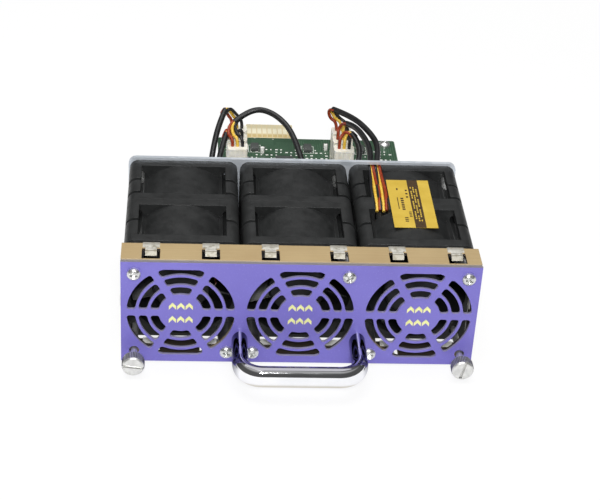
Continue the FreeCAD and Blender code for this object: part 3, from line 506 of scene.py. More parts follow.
knurl_steel = grained("knurl_steel", 0.9, 0.0006, (1, 1, 1),
                      (shade(120, 120, 122), shade(176, 176, 176)), (0.3, 0.5), 0.00001)
dress(zinc, "thumbscrew_ring_left", "thumbscrew_ring_right")
for side in ("left", "right"):
    dress(turned_nickel(side), "thumbscrew_" + side)
    new_piece("thumbscrew_knurl_" + side, knurl_band(side), [knurl_steel],
              "thumbscrew_" + side)


# Fan housings
# Glass-filled black plastic, moulded in one shot with a fine spark-eroded texture.
# Dust and handling leave its gloss uneven.
BAYS = ("left", "middle", "right")
HALVES = ("front", "rear")


def housing_plastic():
    plastic = new_finish("housing_plastic")
    shader_of(plastic).inputs["Specular IOR Level"].default_value = 0.45
    dust = clouds(plastic, 0.006)
    paint(plastic, mix_colour(plastic, dust, shade(31, 32, 32), shade(41, 42, 42)))
    roughen(plastic, clouds(plastic, 0.003), 0.38, 0.56)
    raise_surface(plastic, clouds(plastic, 0.0003, detail=2.0), 0.000015, 0.0003)
    return plastic


dress(housing_plastic(), *["fan_housing_" + bay + "_" + half for bay in BAYS for half in HALVES])


# Rotors and motors
# Each impeller is moulded in black plastic over a steel cup with a magnet ring and a shaft.
# Behind it stand the bearings, a laminated stator, its windings and a small round board.
def impeller_plastic():
    plastic = new_finish("impeller_plastic")
    flow = clouds(plastic, 0.004)
    paint(plastic, mix_colour(plastic, flow, shade(22, 23, 24), shade(30, 31, 32)))
    roughen(plastic, flow, 0.28, 0.42)
    raise_surface(plastic, clouds(plastic, 0.0005, detail=2.0), 0.000006)
    return plastic


def copper_winding():
    copper = new_finish("copper_winding", 0.9)
    strands = add_node(copper, "ShaderNodeTexWave", Scale=1.0, Distortion=0.6)
    lead_to(copper, own_place(copper, 0.0006), strands.inputs["Vector"])
    paint(copper, mix_colour(copper, strands.outputs["Fac"], shade(120, 58, 24), shade(196, 112, 58)))
    roughen(copper, strands.outputs["Fac"], 0.25, 0.45)
    raise_surface(copper, strands.outputs["Fac"], 0.00004)
    return copper


rotors = [bay + "_" + half for bay in BAYS for half in HALVES]
motor_steel = grained("motor_steel", 1.0, 0.0005, (1, 0.2, 1),
                      (shade(150, 151, 154), shade(182, 183, 186)), (0.28, 0.45), 0.000005)
dress(impeller_plastic(), *["impeller_" + rotor for rotor in rotors])
dress(motor_steel, "shaft_bearings", "stator_cores", *["rotor_core_" + rotor for rotor in rotors])
dress(copper_winding(), "stator_coils")


# Rear bracket
# Zinc plated sheet with three intake holes, folded into the shelf that carries the board.
# The plating is pale and bluish with a faint crystal pattern.
def zinc_sheet():
    sheet = new_finish("zinc_sheet", 0.45)
    crystals = add_node(sheet, "ShaderNodeTexVoronoi", Scale=1.0, Randomness=1.0)
    lead_to(sheet, own_place(sheet, 0.004), crystals.inputs["Vector"])
    tone = add_node(sheet, "ShaderNodeSeparateColor")
    lead_to(sheet, crystals.outputs["Color"], tone.inputs["Color"])
    lines = clouds(sheet, 0.0007, stretch=(0.05, 1, 1))
    plated = mix_colour(sheet, tone.outputs["Red"], shade(216, 223, 231), shade(229, 234, 240))
    paint(sheet, mix_colour(sheet, spread(sheet, lines, 0.0, 1.0, 0.0, 0.2), plated, shade(200, 208, 217)))
    roughen(sheet, tone.outputs["Red"], 0.32, 0.46)
    raise_surface(sheet, lines, 0.000005)
    return sheet


dress(zinc_sheet(), "rear_bracket")


# Board
# Glass-epoxy board under green solder mask, on brass posts clinched into the shelf.
# Tracks and vias show through the mask; the tab has hard gold contacts, with a painted highlight across
# the middle and paler behind it.
MASK_END = 139.8
TRACK_PITCH = 0.95
TRACK_SHARE = 0.36
TRACK_PATCH = 9.0
VIA_SPACING = 6.0
GLARE_START = 143.2
GLARE_END = 147.8
GLARE_BLEND = 0.8


def cells(material, size, distance="EUCLIDEAN"):
    """Random cells about this size in metres, the same all through the board's thickness."""
    made = add_node(material, "ShaderNodeTexVoronoi", Scale=1.0, Randomness=1.0)
    made.distance = distance
    lead_to(material, own_place(material, size, stretch=(1.0, 1.0, 0.0)), made.inputs["Vector"])
    return made


def solder_mask():
    mask = new_finish("solder_mask")
    patch = add_node(mask, "ShaderNodeSeparateColor")
    lead_to(mask, cells(mask, TRACK_PATCH * MM, "CHEBYCHEV").outputs["Color"], patch.inputs["Color"])
    lines = []
    for axis in ("X", "Y"):
        within = calculate(mask, "FRACT", along(mask, axis, TRACK_PITCH * MM), 0.0)
        lines.append(calculate(mask, "LESS_THAN", within, TRACK_SHARE))
    turned_patch = calculate(mask, "GREATER_THAN", patch.outputs["Red"], 0.5)
    straight_patch = calculate(mask, "SUBTRACT", 1.0, turned_patch)
    tracked_patch = calculate(mask, "GREATER_THAN", patch.outputs["Green"], 0.35)
    lengthwise = calculate(mask, "MULTIPLY", lines[0], turned_patch)
    crosswise = calculate(mask, "MULTIPLY", lines[1], straight_patch)
    on_track = calculate(mask, "MULTIPLY", calculate(mask, "ADD", lengthwise, crosswise), tracked_patch)
    on_via = spread(mask, cells(mask, VIA_SPACING * MM).outputs["Distance"], 0.06, 0.08, 1.0, 0.0)
    green = mix_colour(mask, clouds(mask, 0.012), shade(46, 74, 54), shade(56, 86, 64))
    tracked = mix_colour(mask, calculate(mask, "MULTIPLY", on_track, 0.6), green, shade(80, 112, 88))
    covered = mix_colour(mask, on_via, tracked, shade(176, 176, 166))
    on_tab = calculate(mask, "GREATER_THAN", along(mask, "Y", 1.0), at(0, MASK_END, 0).y)
    paint(mask, mix_colour(mask, on_tab, covered, shade(222, 206, 166)))
    roughen(mask, clouds(mask, 0.002), 0.36, 0.48)
    raise_surface(mask, calculate(mask, "MAXIMUM", on_track, on_via), 0.00002)
    return mask


def hard_gold():
    gold = new_finish("hard_gold", 0.12)
    wiped = clouds(gold, 0.0006, stretch=(1, 0.1, 1))
    plated = mix_colour(gold, wiped, shade(202, 178, 120), shade(216, 193, 136))
    # A bright band across the middle of the contacts is a painted highlight; behind it they are a paler
    # cream.
    reached = fade_back(gold, GLARE_START - GLARE_BLEND, GLARE_START + GLARE_BLEND)
    passed = fade_back(gold, GLARE_END - GLARE_BLEND, GLARE_END + GLARE_BLEND)
    with_painted_reflection = mix_colour(gold, reached, plated, shade(242, 235, 206))
    paint(gold, mix_colour(gold, passed, with_painted_reflection, shade(218, 208, 172)))
    roughen(gold, wiped, 0.54, 0.68)
    raise_surface(gold, wiped, 0.000004)
    return gold


post_brass = grained("post_brass", 1.0, 0.0005, (0.1, 0.1, 1),
                     (shade(196, 172, 104), shade(222, 200, 134)), (0.24, 0.42), 0.000006)
dress(solder_mask(), "fan_board", "motor_boards")
dress(hard_gold(), "edge_contacts")
dress(post_brass, "board_standoffs")


# Chips and capacitors
# A controller and three drivers with gull-wing legs, and three aluminium can capacitors.
# They stand where the CAD blocks are, soldered to the board's top.
BOARD_TOP = (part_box("fan_board")[1].z - plate_low.z) / MM
# place across and back, width, depth, height and legs on a side
CHIPS = ((0.0, 118.4, 8.0, 8.0, 1.4, 8), (-12.0, 130.4, 4.0, 5.0, 1.5, 4),
         (10.0, 130.4, 4.0, 5.0, 1.5, 4), (32.0, 130.4, 4.0, 5.0, 1.5, 4))
CHIP_LIFT = 0.12
CHIP_EDGE = 0.12
PIN_MARK_R = 0.26
PIN_MARK_X = 1.1
PIN_MARK_Y = 0.7
PIN_MARK_SINK = 0.05
PIN_MARK_RISE = 0.012
LEG_REACH = 0.4
LEG_SHARE = 0.22
LEG_THICK = 0.16
LEG_HALF = 0.1
LEG_KNEE = 0.1
LEG_RISE = 0.55
CAPACITORS = ((-8.0, 91.0), (8.0, 91.0), (24.0, 91.0))
CAN_FOOT = 5.8
CAN_FOOT_H = 0.9
CAN_FOOT_EDGE = 0.15
CAN_PROFILE = ((2.7, 0.8), (2.8, 1.1), (2.8, 1.7), (2.6, 1.95), (2.6, 2.15), (2.8, 2.4),
               (2.8, 6.5), (2.66, 6.85), (2.4, 7.0), (1.9, 6.92), (0.3, 6.9))
CAN_MARK = ((-2.0, -1.35), (2.0, -1.35), (1.35, -2.0), (-1.35, -2.0))
CAN_MARK_FOOT = 6.94
CAN_MARK_THICK = 0.05


def brick(form, x0, x1, y0, y1, z0, z1, bevel=0.0, finish=0):
    """A block in millimetres with softened edges."""
    outline = [at(x0, y0, z0), at(x1, y0, z0), at(x1, y1, z0), at(x0, y1, z0)]
    faces = slab(form, outline, Vector((0, 0, (z1 - z0) * MM)))
    for face in faces:
        face.material_index = finish
    if bevel:
        edges = list({edge for face in faces for edge in face.edges})
        bmesh.ops.bevel(form, geom=edges, offset=bevel * MM, segments=2, affect="EDGES", profile=0.5,
                        material=finish)


def turned(form, x, y, profile, finish, steps=32):
    """A shape of revolution about an upright axis, from radius and height pairs."""
    rows = []
    for radius, height in profile:
        row = []
        for i in range(steps):
            angle = 2 * math.pi * i / steps
            spot = at(x + radius * math.cos(angle), y + radius * math.sin(angle), height)
            row.append(form.verts.new(spot))
        rows.append(row)
    for this, following in zip(rows, rows[1:]):
        for i in range(steps):
            j = (i + 1) % steps
            form.faces.new((this[i], this[j], following[j], following[i])).material_index = finish
    form.faces.new(list(reversed(rows[0]))).material_index = finish
    form.faces.new(rows[-1]).material_index = finish


def board_components():
    form = bmesh.new()
    for x, y, wide, deep, high, legs in CHIPS:
        half_w = wide / 2
        half_d = deep / 2
        top = BOARD_TOP + high
        brick(form, x - half_w + LEG_REACH, x + half_w - LEG_REACH, y - half_d, y + half_d,
              BOARD_TOP + CHIP_LIFT, top, CHIP_EDGE, 0)
        turned(form, x - half_w + PIN_MARK_X, y - half_d + PIN_MARK_Y,
               [(PIN_MARK_R, top - PIN_MARK_SINK), (PIN_MARK_R, top + PIN_MARK_RISE)], 1, steps=12)
        pitch = deep / legs
        for i in range(legs):
            leg_y = y - half_d + (i + 0.5) * pitch
            near = leg_y - pitch * LEG_SHARE
            far = leg_y + pitch * LEG_SHARE
            for side in (-1, 1):
                shoulder = x + side * (half_w - LEG_REACH)
                inner, outer = sorted((shoulder, x + side * half_w))
                brick(form, inner, outer, near, far, BOARD_TOP, BOARD_TOP + LEG_THICK, 0.0, 1)
                brick(form, shoulder - LEG_HALF, shoulder + LEG_HALF, near, far,
                      BOARD_TOP + LEG_KNEE, BOARD_TOP + high * LEG_RISE, 0.0, 1)
    foot = CAN_FOOT / 2
    for x, y in CAPACITORS:
        brick(form, x - foot, x + foot, y - foot, y + foot, BOARD_TOP, BOARD_TOP + CAN_FOOT_H,
              CAN_FOOT_EDGE, 0)
        turned(form, x, y, [(radius, BOARD_TOP + height) for radius, height in CAN_PROFILE], 2)
        slab(form, [at(x + px, y + py, BOARD_TOP + CAN_MARK_FOOT) for px, py in CAN_MARK],
             Vector((0, 0, CAN_MARK_THICK * MM)))
    return to_mesh("board_components", form)


chip_black = grained("chip_black", 0.0, 0.0002, (1, 1, 1),
                     (shade(62, 66, 64), shade(82, 86, 83)), (0.48, 0.64), 0.00001)
tin = grained("solder_tin", 0.9, 0.0005, (1, 1, 1),
              (shade(176, 176, 174), shade(214, 214, 210)), (0.22, 0.4), 0.000008)
can_aluminium = grained("can_aluminium", 0.85, 0.0006, (1, 1, 0.08),
                        (shade(186, 188, 190), shade(216, 217, 219)), (0.25, 0.4), 0.000005)
chips = new_piece("board_components", board_components(), [chip_black, tin, can_aluminium])
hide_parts("board_parts")


# Passives and print on the board
# Surface-mount resistors and capacitors, small fired blocks soldered down by their tinned ends.
# White ink frames the parts and runs in rows of short marks along the board's rear.
# place across and back, and kind: black resistor, tan capacitor or tall white one
PASSIVES = ((-9.5, 99.0, 0), (-9.5, 102.5, 1), (-9.5, 106.0, 0), (-9.5, 109.5, 1), (-6.0, 99.0, 1),
            (-6.0, 102.5, 0), (-2.5, 99.0, 0), (-2.5, 102.5, 0), (1.0, 99.0, 1), (4.5, 99.0, 0),
            (4.5, 102.5, 1), (8.0, 102.5, 0), (8.0, 106.0, 1), (8.0, 109.5, 0), (11.5, 106.0, 0),
            (11.5, 109.5, 1), (-9.0, 127.0, 2), (17.4, 130.7, 2), (-18.0, 125.0, 0), (-18.0, 128.5, 1),
            (-14.5, 121.5, 0), (6.5, 124.0, 0), (6.5, 127.5, 1), (20.0, 123.5, 0), (23.5, 123.5, 1),
            (27.0, 123.5, 0), (36.0, 112.0, 0), (36.0, 115.5, 1), (36.0, 119.0, 0), (39.5, 112.0, 1),
            (39.5, 115.5, 0), (30.5, 97.0, 1), (34.0, 97.0, 0), (37.5, 97.0, 0))
PASSIVE_L = 2.0
PASSIVE_W = 1.25
PASSIVE_HEIGHTS = (0.55, 0.85, 2.6)
PASSIVE_EDGE = 0.06
TIN_L = 0.35
TIN_OVER = 0.02
TIN_RISE = 0.03
TIN_EDGE = 0.05
PRINT_LINE = 0.18
PRINT_RISE = 0.02
CHIP_FRAME = 0.5
PASSIVE_FRAME = 0.35
PASSIVE_LINE = 1.2
PRINT_ROWS = (122.6, 124.9, 127.2, 129.4)
PRINT_MARKS = 34
PRINT_START = -24.0
PRINT_PITCH = 2.05
PRINT_TALL = 0.75
PRINT_SHORT = 0.5
PRINT_STEP = 0.3


def passive_parts():
    form = bmesh.new()
    half_l = PASSIVE_L / 2
    half_w = PASSIVE_W / 2
    for x, y, kind in PASSIVES:
        high = BOARD_TOP + PASSIVE_HEIGHTS[kind]
        brick(form, x - half_l + TIN_L, x + half_l - TIN_L, y - half_w, y + half_w,
              BOARD_TOP, high, PASSIVE_EDGE, kind)
        for side in (-1, 1):
            inner, outer = sorted((x + side * (half_l - TIN_L), x + side * half_l))
            brick(form, inner, outer, y - half_w - TIN_OVER, y + half_w + TIN_OVER,
                  BOARD_TOP, high + TIN_RISE, TIN_EDGE, 3)
    return to_mesh("board_passives", form)


def fired_body(name, grain, tones, rough, relief):
    """The fired body of a small surface-mount part."""
    body = new_finish(name)
    paint(body, mix_colour(body, clouds(body, grain), *tones))
    roughen(body, clouds(body, 0.0006), *rough)
    raise_surface(body, clouds(body, 0.0003), relief)
    return body


def printed(form, x0, x1, y0, y1):
    """A flat patch of white ink on the board."""
    outline = [at(x, y, BOARD_TOP) for x, y in ((x0, y0), (x1, y0), (x1, y1), (x0, y1))]
    slab(form, outline, Vector((0, 0, PRINT_RISE * MM)))


def outline_print():
    """Thin frames round the chips, lines beside the passives and rows of short marks."""
    form = bmesh.new()
    for x, y, wide, deep in [chip[:4] for chip in CHIPS]:
        half_w = wide / 2 + CHIP_FRAME
        half_d = deep / 2 + CHIP_FRAME
        for side in (-1, 1):
            edge = y + side * half_d
            printed(form, x - half_w, x + half_w, edge - PRINT_LINE, edge)
            edge = x + side * half_w
            printed(form, edge - PRINT_LINE, edge, y - half_d, y + half_d - PRINT_LINE)
    for x, y in [passive[:2] for passive in PASSIVES]:
        for side in (-1, 1):
            edge = y + side * (PASSIVE_W / 2 + PASSIVE_FRAME)
            printed(form, x - PASSIVE_LINE / 2, x + PASSIVE_LINE / 2, edge - PRINT_LINE / 2,
                    edge + PRINT_LINE / 2)
    for row, y in enumerate(PRINT_ROWS):
        for i in range(PRINT_MARKS):
            # gaps fall at uneven steps along each row
            if (3 * i + 2 * row) % 7 in (0, 3):
                continue
            x = PRINT_START + i * PRINT_PITCH
            reach = PRINT_SHORT + PRINT_STEP * ((2 * i + row) % 3)
            printed(form, x, x + reach, y, y + PRINT_TALL)
    return to_mesh("board_print", form)


resistor_black = fired_body("resistor_black", 0.0004, (shade(28, 28, 30), shade(44, 44, 46)),
                            (0.3, 0.5), 0.000006)
ceramic_tan = fired_body("ceramic_tan", 0.0005, (shade(176, 146, 108), shade(198, 170, 132)),
                         (0.42, 0.58), 0.000008)
white = fired_body("white_ceramic", 0.0006, (shade(226, 226, 220), shade(242, 242, 238)),
                   (0.42, 0.58), 0.000008)
new_piece("board_passives", passive_parts(), [resistor_black, ceramic_tan, white, tin])
new_piece("board_print", outline_print(), [white])


# Headers and plugs
# Natural nylon shells on the board, with a crimp housing pushed into each from above.
# Guide ribs run down the plugs' long sides beside the windows for the crimp tangs.
HEADER_TOP = (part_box("board_headers")[1].z - plate_low.z) / MM
PLUG_TOP = (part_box("lead_plugs")[1].z - plate_low.z) / MM
PLUG_X = (-20.1, 22.0)
PLUG_Y = (101.6, 109.1, 116.6)
PLUG_W = 7.9
PLUG_D = 4.6
WAY_PITCH = PLUG_W / 4
RIB_PITCH = PLUG_W / 4.4
RIB_HALF = 0.22
RIB_SINK = 0.1
RIB_RISE = 0.22
RIB_FOOT = 0.3
RIB_HEAD = 0.35
RIB_EDGE = 0.06
LIP_IN = 0.3
LIP_FOOT = 0.75
LIP_HEAD = 0.3
LIP_EDGE = 0.08
WINDOW_HALF = 0.55
WINDOW_FOOT = 1.4
WINDOW_HEAD = 2.6
WINDOW_BACK = 0.05
WINDOW_EDGE = 0.05


def natural_nylon():
    nylon = new_finish("natural_nylon")
    shader_of(nylon).inputs["Subsurface Weight"].default_value = 0.15
    shader_of(nylon).inputs["Subsurface Radius"].default_value = (0.0008, 0.0007, 0.0005)
    paint(nylon, mix_colour(nylon, clouds(nylon, 0.003), shade(240, 235, 220), shade(248, 245, 234)))
    roughen(nylon, clouds(nylon, 0.002), 0.34, 0.5)
    raise_surface(nylon, clouds(nylon, 0.0004), 0.000008)
    return nylon


def plug_ribs():
    form = bmesh.new()
    for x, y in [(x, y) for x in PLUG_X for y in PLUG_Y]:
        for side in (-1, 1):
            face = y + side * PLUG_D / 2
            near, far = sorted((face - side * RIB_SINK, face + side * RIB_RISE))
            for step in (-1.5, -0.5, 0.5, 1.5):
                rib = x + step * RIB_PITCH
                brick(form, rib - RIB_HALF, rib + RIB_HALF, near, far,
                      HEADER_TOP + RIB_FOOT, PLUG_TOP - RIB_HEAD, RIB_EDGE, 0)
            brick(form, x - PLUG_W / 2 + LIP_IN, x + PLUG_W / 2 - LIP_IN, near, far,
                  PLUG_TOP - LIP_FOOT, PLUG_TOP - LIP_HEAD, LIP_EDGE, 0)
            window_far = far - WINDOW_BACK if side > 0 else far
            for step in (-1, 0, 1):
                window = x + step * WAY_PITCH
                brick(form, window - WINDOW_HALF, window + WINDOW_HALF, near, window_far,
                      HEADER_TOP + WINDOW_FOOT, HEADER_TOP + WINDOW_HEAD, WINDOW_EDGE, 1)
    return to_mesh("plug_ribs", form)


nylon = natural_nylon()
dress(nylon, "board_headers", "lead_plugs")
new_piece("plug_ribs", plug_ribs(), [nylon, tin])


# Leads
# Six black sleeves with three wires in each, from the fans' notches over to the plugs.
# They arch up under their own stiffness and end a little above each plug, where the wires come out.
SLEEVE_D = 2.3
WIRE_D = 1.3
WIRE_SPLAY = 0.62
TAIL_INSIDE = 2.0
TAIL_STRAIGHT = 1.5
TAIL_BEND = 0.45
TAIL_BOW = 0.6
TAIL_ABOVE = 3.5
CRIMP_DEPTH = 0.8
# route of each sleeve, place of its plug, and its length in metres
LEADS = {
    "lead_left_a": ([(-31.72, 74, 1.65), (-32.02, 82, 5.05), (-31.62, 91, 15.05), (-30, 100, 28),
                     (-27.5, 107.5, 37), (-25, 112.5, 40.4)], (PLUG_X[0], PLUG_Y[2]), 0.0563),
    "lead_left_b": ([(-29.28, 74, 1.65), (-29.08, 81, 5.05), (-28.98, 91, 17.05), (-27, 100, 28),
                     (-24.4, 106, 33.4)], (PLUG_X[0], PLUG_Y[1]), 0.046),
    "lead_middle_a": ([(9.28, 74, 1.65), (8.98, 79.5, 8.05), (7.98, 85, 20.05), (2, 100, 37),
                       (-6, 109.5, 41.2), (-15, 113, 41), (-21.5, 108.5, 37)],
                      (PLUG_X[0], PLUG_Y[0]), 0.0753),
    "lead_middle_b": ([(11.72, 74, 1.65), (13.32, 79.5, 9.05), (20.02, 82.6, 20.05), (28, 95, 28),
                       (27.5, 100, 34), (24.5, 102.5, 36.5)], (PLUG_X[1], PLUG_Y[0]), 0.0509),
    "lead_right_a": ([(29.28, 74, 39.35), (30.18, 82, 39.95), (28.48, 92, 40.45), (25.5, 102, 40),
                      (22.8, 108.5, 37.5)], (PLUG_X[1], PLUG_Y[1]), 0.036),
    "lead_right_b": ([(31.72, 74, 39.35), (33.52, 84, 40.45), (31.02, 95, 40.95), (25, 108, 41),
                      (18, 116.5, 39.5)], (PLUG_X[1], PLUG_Y[2]), 0.0467),
}


def smooth_line(name, routes, diameter, finishes):
    """A round curve object with a smooth spline for each route, and the finishes in turn."""
    curve = bpy.data.curves.new(name, "CURVE")
    curve.dimensions = "3D"
    curve.bevel_depth = diameter / 2
    curve.bevel_resolution = 4
    curve.resolution_u = 16
    curve.use_fill_caps = True
    for finish in finishes:
        curve.materials.append(finish)
    for index, points in enumerate(routes):
        spline = curve.splines.new("NURBS")
        spline.points.add(len(points) - 1)
        for spot, point in zip(spline.points, points):
            spot.co = (*point, 1.0)
        spline.order_u = 3
        spline.use_endpoint_u = True
        spline.material_index = index % len(finishes)
    line = bpy.data.objects.new(name, curve)
    bpy.context.scene.collection.objects.link(line)
    return line


def wire_skin(name, dark, light):
    skin = new_finish(name)
    scuff = clouds(skin, 0.0009)
    paint(skin, mix_colour(skin, scuff, dark, light))
    roughen(skin, scuff, 0.32, 0.48)
    raise_surface(skin, clouds(skin, 0.0004), 0.000008)
    return skin


wire_skins = [wire_skin("wire_red", shade(132, 44, 18), shade(168, 66, 28)),
              wire_skin("wire_yellow", shade(222, 176, 46), shade(240, 204, 92)),
              wire_skin("wire_black", shade(22, 22, 23), shade(38, 38, 40))]
black_sleeve = grained("black_sleeve", 0.0, 0.0012, (1, 1, 1),
                       (shade(20, 20, 21), shade(34, 34, 35)), (0.32, 0.5), 0.00003)
for name, (points, plug, length) in LEADS.items():
    route = [at(*point) for point in points]
    sleeve = smooth_line(name + "_sleeve", [route], SLEEVE_D * MM, [black_sleeve])
    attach(sleeve, "tray")
    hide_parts(name)
    end = route[-1]
    heading = (route[-1] - route[-2]).normalized()
    wires = []
    for step in (-1, 0, 1):
        foot = at(plug[0] + step * WAY_PITCH, plug[1], PLUG_TOP)
        leaving = end + Vector((step * WIRE_D * WIRE_SPLAY * MM, 0, 0))
        straight = heading * TAIL_STRAIGHT * MM
        bow = Vector((step * TAIL_BOW * MM, 0, 0))
        wires.append([leaving - heading * TAIL_INSIDE * MM, leaving + straight,
                      leaving.lerp(foot, TAIL_BEND) + straight + bow,
                      foot + Vector((0, 0, TAIL_ABOVE * MM)), foot - Vector((0, 0, CRIMP_DEPTH * MM))])
    tails = smooth_line(name + "_wires", wires, WIRE_D * MM, wire_skins)
    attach(tails, "tray")
    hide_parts("plug_wires")


# Wires along the fans
# Each fan's three wires come out at the notch where a pair meets and run back along the housings.
# They lie loosely side by side, held by the bracket's notch.
NOTCH_Y = 43.0
NOTCH_DEPTH = 2.2
NOTCH_SPACING = 0.8
LIP_Y = 45.5
LIP_DEPTH = 0.6
SWAY_Y = 53.0
SWAY = 0.5
RETURN_Y = 63.0
RETURN_SHARE = 0.6
BRACKET_Y = 74.0
BRACKET_SPACING = 0.55
MIDDLE_SINK = 0.5


def fan_wire_routes(start_x, height, inward):
    """Three wires side by side, from the notch between the fans to the bracket."""
    routes = []
    for step in (-1, 0, 1):
        x = start_x + step * WIRE_D * NOTCH_SPACING
        z = height + inward * (MIDDLE_SINK if step == 0 else 0.0)
        sway = SWAY * step
        routes.append([at(x, NOTCH_Y, z + inward * NOTCH_DEPTH), at(x, LIP_Y, z + inward * LIP_DEPTH),
                       at(x + sway, SWAY_Y, z), at(x - sway * RETURN_SHARE, RETURN_Y, z),
                       at(start_x + step * WIRE_D * BRACKET_SPACING, BRACKET_Y, z)])
    return routes


for bay in BAYS:
    starts = [LEADS["lead_" + bay + "_" + which][0][0] for which in ("a", "b")]
    inward = -1.0 if starts[0][2] > AXIS_Z else 1.0
    routes = [route for start in starts for route in fan_wire_routes(start[0], start[2], inward)]
    wires = smooth_line("fan_wires_" + bay, routes, WIRE_D * MM, wire_skins[::-1])
    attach(wires, "tray")
    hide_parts("fan_wires")


# Label
# A yellow paper label wrapped flat over the right-hand pair, with a brown printed band.
# Rows of small bars are left yellow in the band and printed brown beside it.
label_low, label_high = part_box("fan_label")
LABEL_RISE = 0.02
# places on the label are shares of its width and depth
BAND_START = 0.485
BAND_END = 0.735
BAND_COLUMNS = 3
COLUMN_START = 0.045
COLUMN_PITCH = 0.06
COLUMN_W = 0.03
BAND_ROWS = 17
ROW_START = 0.13
ROW_PITCH = 0.043
ROW_L = 0.032
# left, right, first foot, length, pitch and number of the brown bars
BROWN_BARS = ((0.26, 0.33, 0.36, 0.03, 0.045, 6), (0.4, 0.46, 0.22, 0.016, 0.03, 4),
              (0.28, 0.36, 0.12, 0.02, 0.035, 3), (0.4, 0.45, 0.62, 0.03, 0.07, 3),
              (0.2, 0.24, 0.78, 0.04, 0.0, 1), (0.18, 0.2, 0.38, 0.24, 0.0, 1))


def label_paper():
    paper = new_finish("label_paper")
    fibre = clouds(paper, 0.0008)
    paint(paper, mix_colour(paper, clouds(paper, 0.006), shade(204, 171, 60), shade(216, 184, 74)))
    roughen(paper, fibre, 0.4, 0.56)
    raise_surface(paper, fibre, 0.000006)
    return paper


def label_print():
    form = bmesh.new()
    rise = Vector((0, 0, LABEL_RISE * MM))
    wide = label_high.x - label_low.x
    deep = label_high.y - label_low.y

    def patch(x0, x1, y0, y1, lift, finish):
        outline = [Vector((label_low.x + px * wide, label_low.y + py * deep, label_high.z + lift))
                   for px, py in ((x0, y0), (x1, y0), (x1, y1), (x0, y1))]
        for face in slab(form, outline, rise):
            face.material_index = finish

    patch(BAND_START, BAND_END, 0.0, 1.0, 0.0, 0)
    for column in range(BAND_COLUMNS):
        x = BAND_START + COLUMN_START + column * COLUMN_PITCH
        for row in range(BAND_ROWS):
            y = ROW_START + row * ROW_PITCH
            if (row + 2 * column) % 5:
                patch(x, x + COLUMN_W, y, y + ROW_L, rise.z, 1)
    for left, right, foot, length, pitch, count in BROWN_BARS:
        for row in range(count):
            y = foot + row * pitch
            patch(left, right, y, y + length, 0.0, 0)
    return to_mesh("label_print", form)


paper = label_paper()
label_ink = grained("label_ink", 0.0, 0.0007, (1, 1, 1),
                    (shade(52, 36, 16), shade(82, 60, 28)), (0.46, 0.62), 0.000004)
dress(paper, "fan_label")
new_piece("label_print", label_print(), [label_ink, paper])


# Floor, light and camera
# A flat white floor in a dark room, with a soft box overhead and a small one by the camera.
# The camera looks from in front and above with a long lens, and sees the room as white.
# Lengths on the stage are in metres.
FLOOR_HALF = 4.0
FLOOR_GAP = 0.0001
FLOOR_PAINT = (0.86, 0.86, 0.86, 1.0)
FLOOR_GLOW = 1.04
FADE_START = 0.25
FADE_END = 1.0
NEAR_SHARE = 0.8
FAR_SHARE = 0.98
MIRROR_SHARE = 0.55
WHITE = (1.0, 1.0, 1.0, 1.0)
DOME_START = 0.6
DOME_END = 0.95
DOME_LOW = 0.08
DOME_HIGH = 0.6

floor_mesh = bpy.data.meshes.new("floor")
floor_z = cad_box[0].z - FLOOR_GAP
floor_corners = [(sx * FLOOR_HALF, sy * FLOOR_HALF, floor_z)
                 for sx, sy in ((-1, -1), (1, -1), (1, 1), (-1, 1))]
floor_mesh.from_pydata(floor_corners, [], [(0, 1, 2, 3)])
floor = bpy.data.objects.new("floor", floor_mesh)
bpy.context.scene.collection.objects.link(floor)


def blend(material, amount, first, second, output):
    """Send a mix of two shaders to the output."""
    both = add_node(material, "ShaderNodeMixShader")
    for socket, source in zip(both.inputs, (amount, first.outputs[0], second.outputs[0])):
        lead_to(material, source, socket)
    lead_to(material, both.outputs[0], add_node(material, output).inputs["Surface"])


def floor_white():
    """Matt paint that takes the shadow, with a glow that fades it to white away from the tray."""
    white_floor = bpy.data.materials.new("floor_white")
    white_floor.use_nodes = True
    white_floor.node_tree.nodes.clear()
    place = add_node(white_floor, "ShaderNodeTexCoord")
    away = add_node(white_floor, "ShaderNodeVectorMath")
    away.operation = "LENGTH"
    lead_to(white_floor, place.outputs["Object"], away.inputs[0])
    faded = spread(white_floor, away.outputs["Value"], FADE_START, FADE_END, NEAR_SHARE, FAR_SHARE)
    ray = add_node(white_floor, "ShaderNodeLightPath")
    seen = calculate(white_floor, "MULTIPLY", ray.outputs["Is Camera Ray"], faded)
    reflected = calculate(white_floor, "MULTIPLY", ray.outputs["Is Glossy Ray"], MIRROR_SHARE)
    matt = add_node(white_floor, "ShaderNodeBsdfDiffuse", Color=FLOOR_PAINT)
    glow = add_node(white_floor, "ShaderNodeEmission", Strength=FLOOR_GLOW)
    share = calculate(white_floor, "ADD", seen, reflected)
    blend(white_floor, share, matt, glow, "ShaderNodeOutputMaterial")
    return white_floor


floor_mesh.materials.append(floor_white())

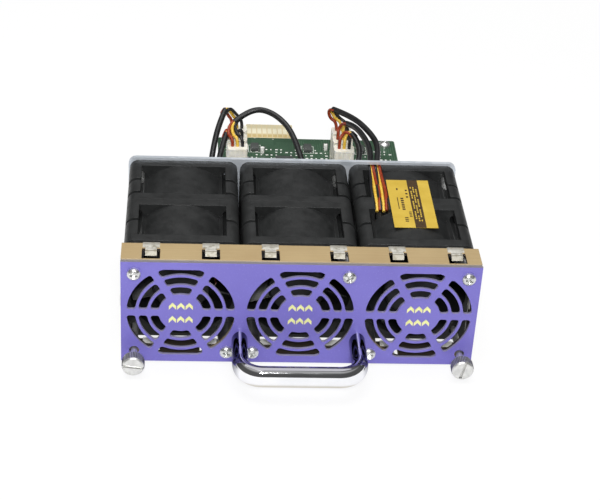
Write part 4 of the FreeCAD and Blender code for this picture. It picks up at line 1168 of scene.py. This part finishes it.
world = bpy.data.worlds.new("studio")
bpy.context.scene.world = world
world.use_nodes = True
world.node_tree.nodes.clear()
around = add_node(world, "ShaderNodeTexCoord")
height = add_node(world, "ShaderNodeSeparateXYZ")
lead_to(world, around.outputs["Generated"], height.inputs["Vector"])
dome = add_node(world, "ShaderNodeBackground", Color=WHITE)
overhead = spread(world, height.outputs["Z"], DOME_START, DOME_END, DOME_LOW, DOME_HIGH)
lead_to(world, overhead, dome.inputs["Strength"])
backdrop = add_node(world, "ShaderNodeBackground", Color=WHITE, Strength=1.0)
sight = add_node(world, "ShaderNodeLightPath")
blend(world, sight.outputs["Is Camera Ray"], dome, backdrop, "ShaderNodeOutputWorld")


def soft_box(name, place, size, power):
    """A square area lamp that looks at the tray."""
    lamp = bpy.data.lights.new(name, "AREA")
    lamp.size = size
    lamp.energy = power
    holder = bpy.data.objects.new(name, lamp)
    bpy.context.scene.collection.objects.link(holder)
    holder.location = place
    holder.rotation_euler = (-Vector(place)).to_track_quat("-Z", "Y").to_euler()


soft_box("flash_box", place=(-0.05, -0.75, 0.58), size=0.12, power=5.4)
soft_box("top_box", place=(-0.08, 0.1, 1.1), size=1.0, power=7.5)

VIEW_AZIMUTH = math.radians(-4.767)
VIEW_HEIGHT = math.radians(32.492)
VIEW_ROLL = math.radians(3.557)
VIEW_DISTANCE = 0.6414
VIEW_TARGET = at(5.67, 85.08, -7.45)
VIEW_FOCUS = 1609.5
PHOTO_WIDTH = 600
SENSOR = 36.0

back = Vector((math.sin(VIEW_AZIMUTH) * math.cos(VIEW_HEIGHT),
               -math.cos(VIEW_AZIMUTH) * math.cos(VIEW_HEIGHT), math.sin(VIEW_HEIGHT)))
level = Vector((0, 0, 1)).cross(back).normalized()
upward = back.cross(level)
right = math.cos(VIEW_ROLL) * level + math.sin(VIEW_ROLL) * upward
above = -math.sin(VIEW_ROLL) * level + math.cos(VIEW_ROLL) * upward
lens = bpy.data.cameras.new("camera")
lens.sensor_fit = "HORIZONTAL"
lens.sensor_width = SENSOR
lens.lens = VIEW_FOCUS / PHOTO_WIDTH * SENSOR
lens.clip_start = 0.01
lens.clip_end = 20.0
camera = bpy.data.objects.new("camera", lens)
bpy.context.scene.collection.objects.link(camera)
turn = Matrix((right, above, back)).transposed()
camera.matrix_world = Matrix.Translation(VIEW_TARGET + back * VIEW_DISTANCE) @ turn.to_4x4()
bpy.context.scene.camera = camera
bpy.context.scene.view_settings.view_transform = "Standard"
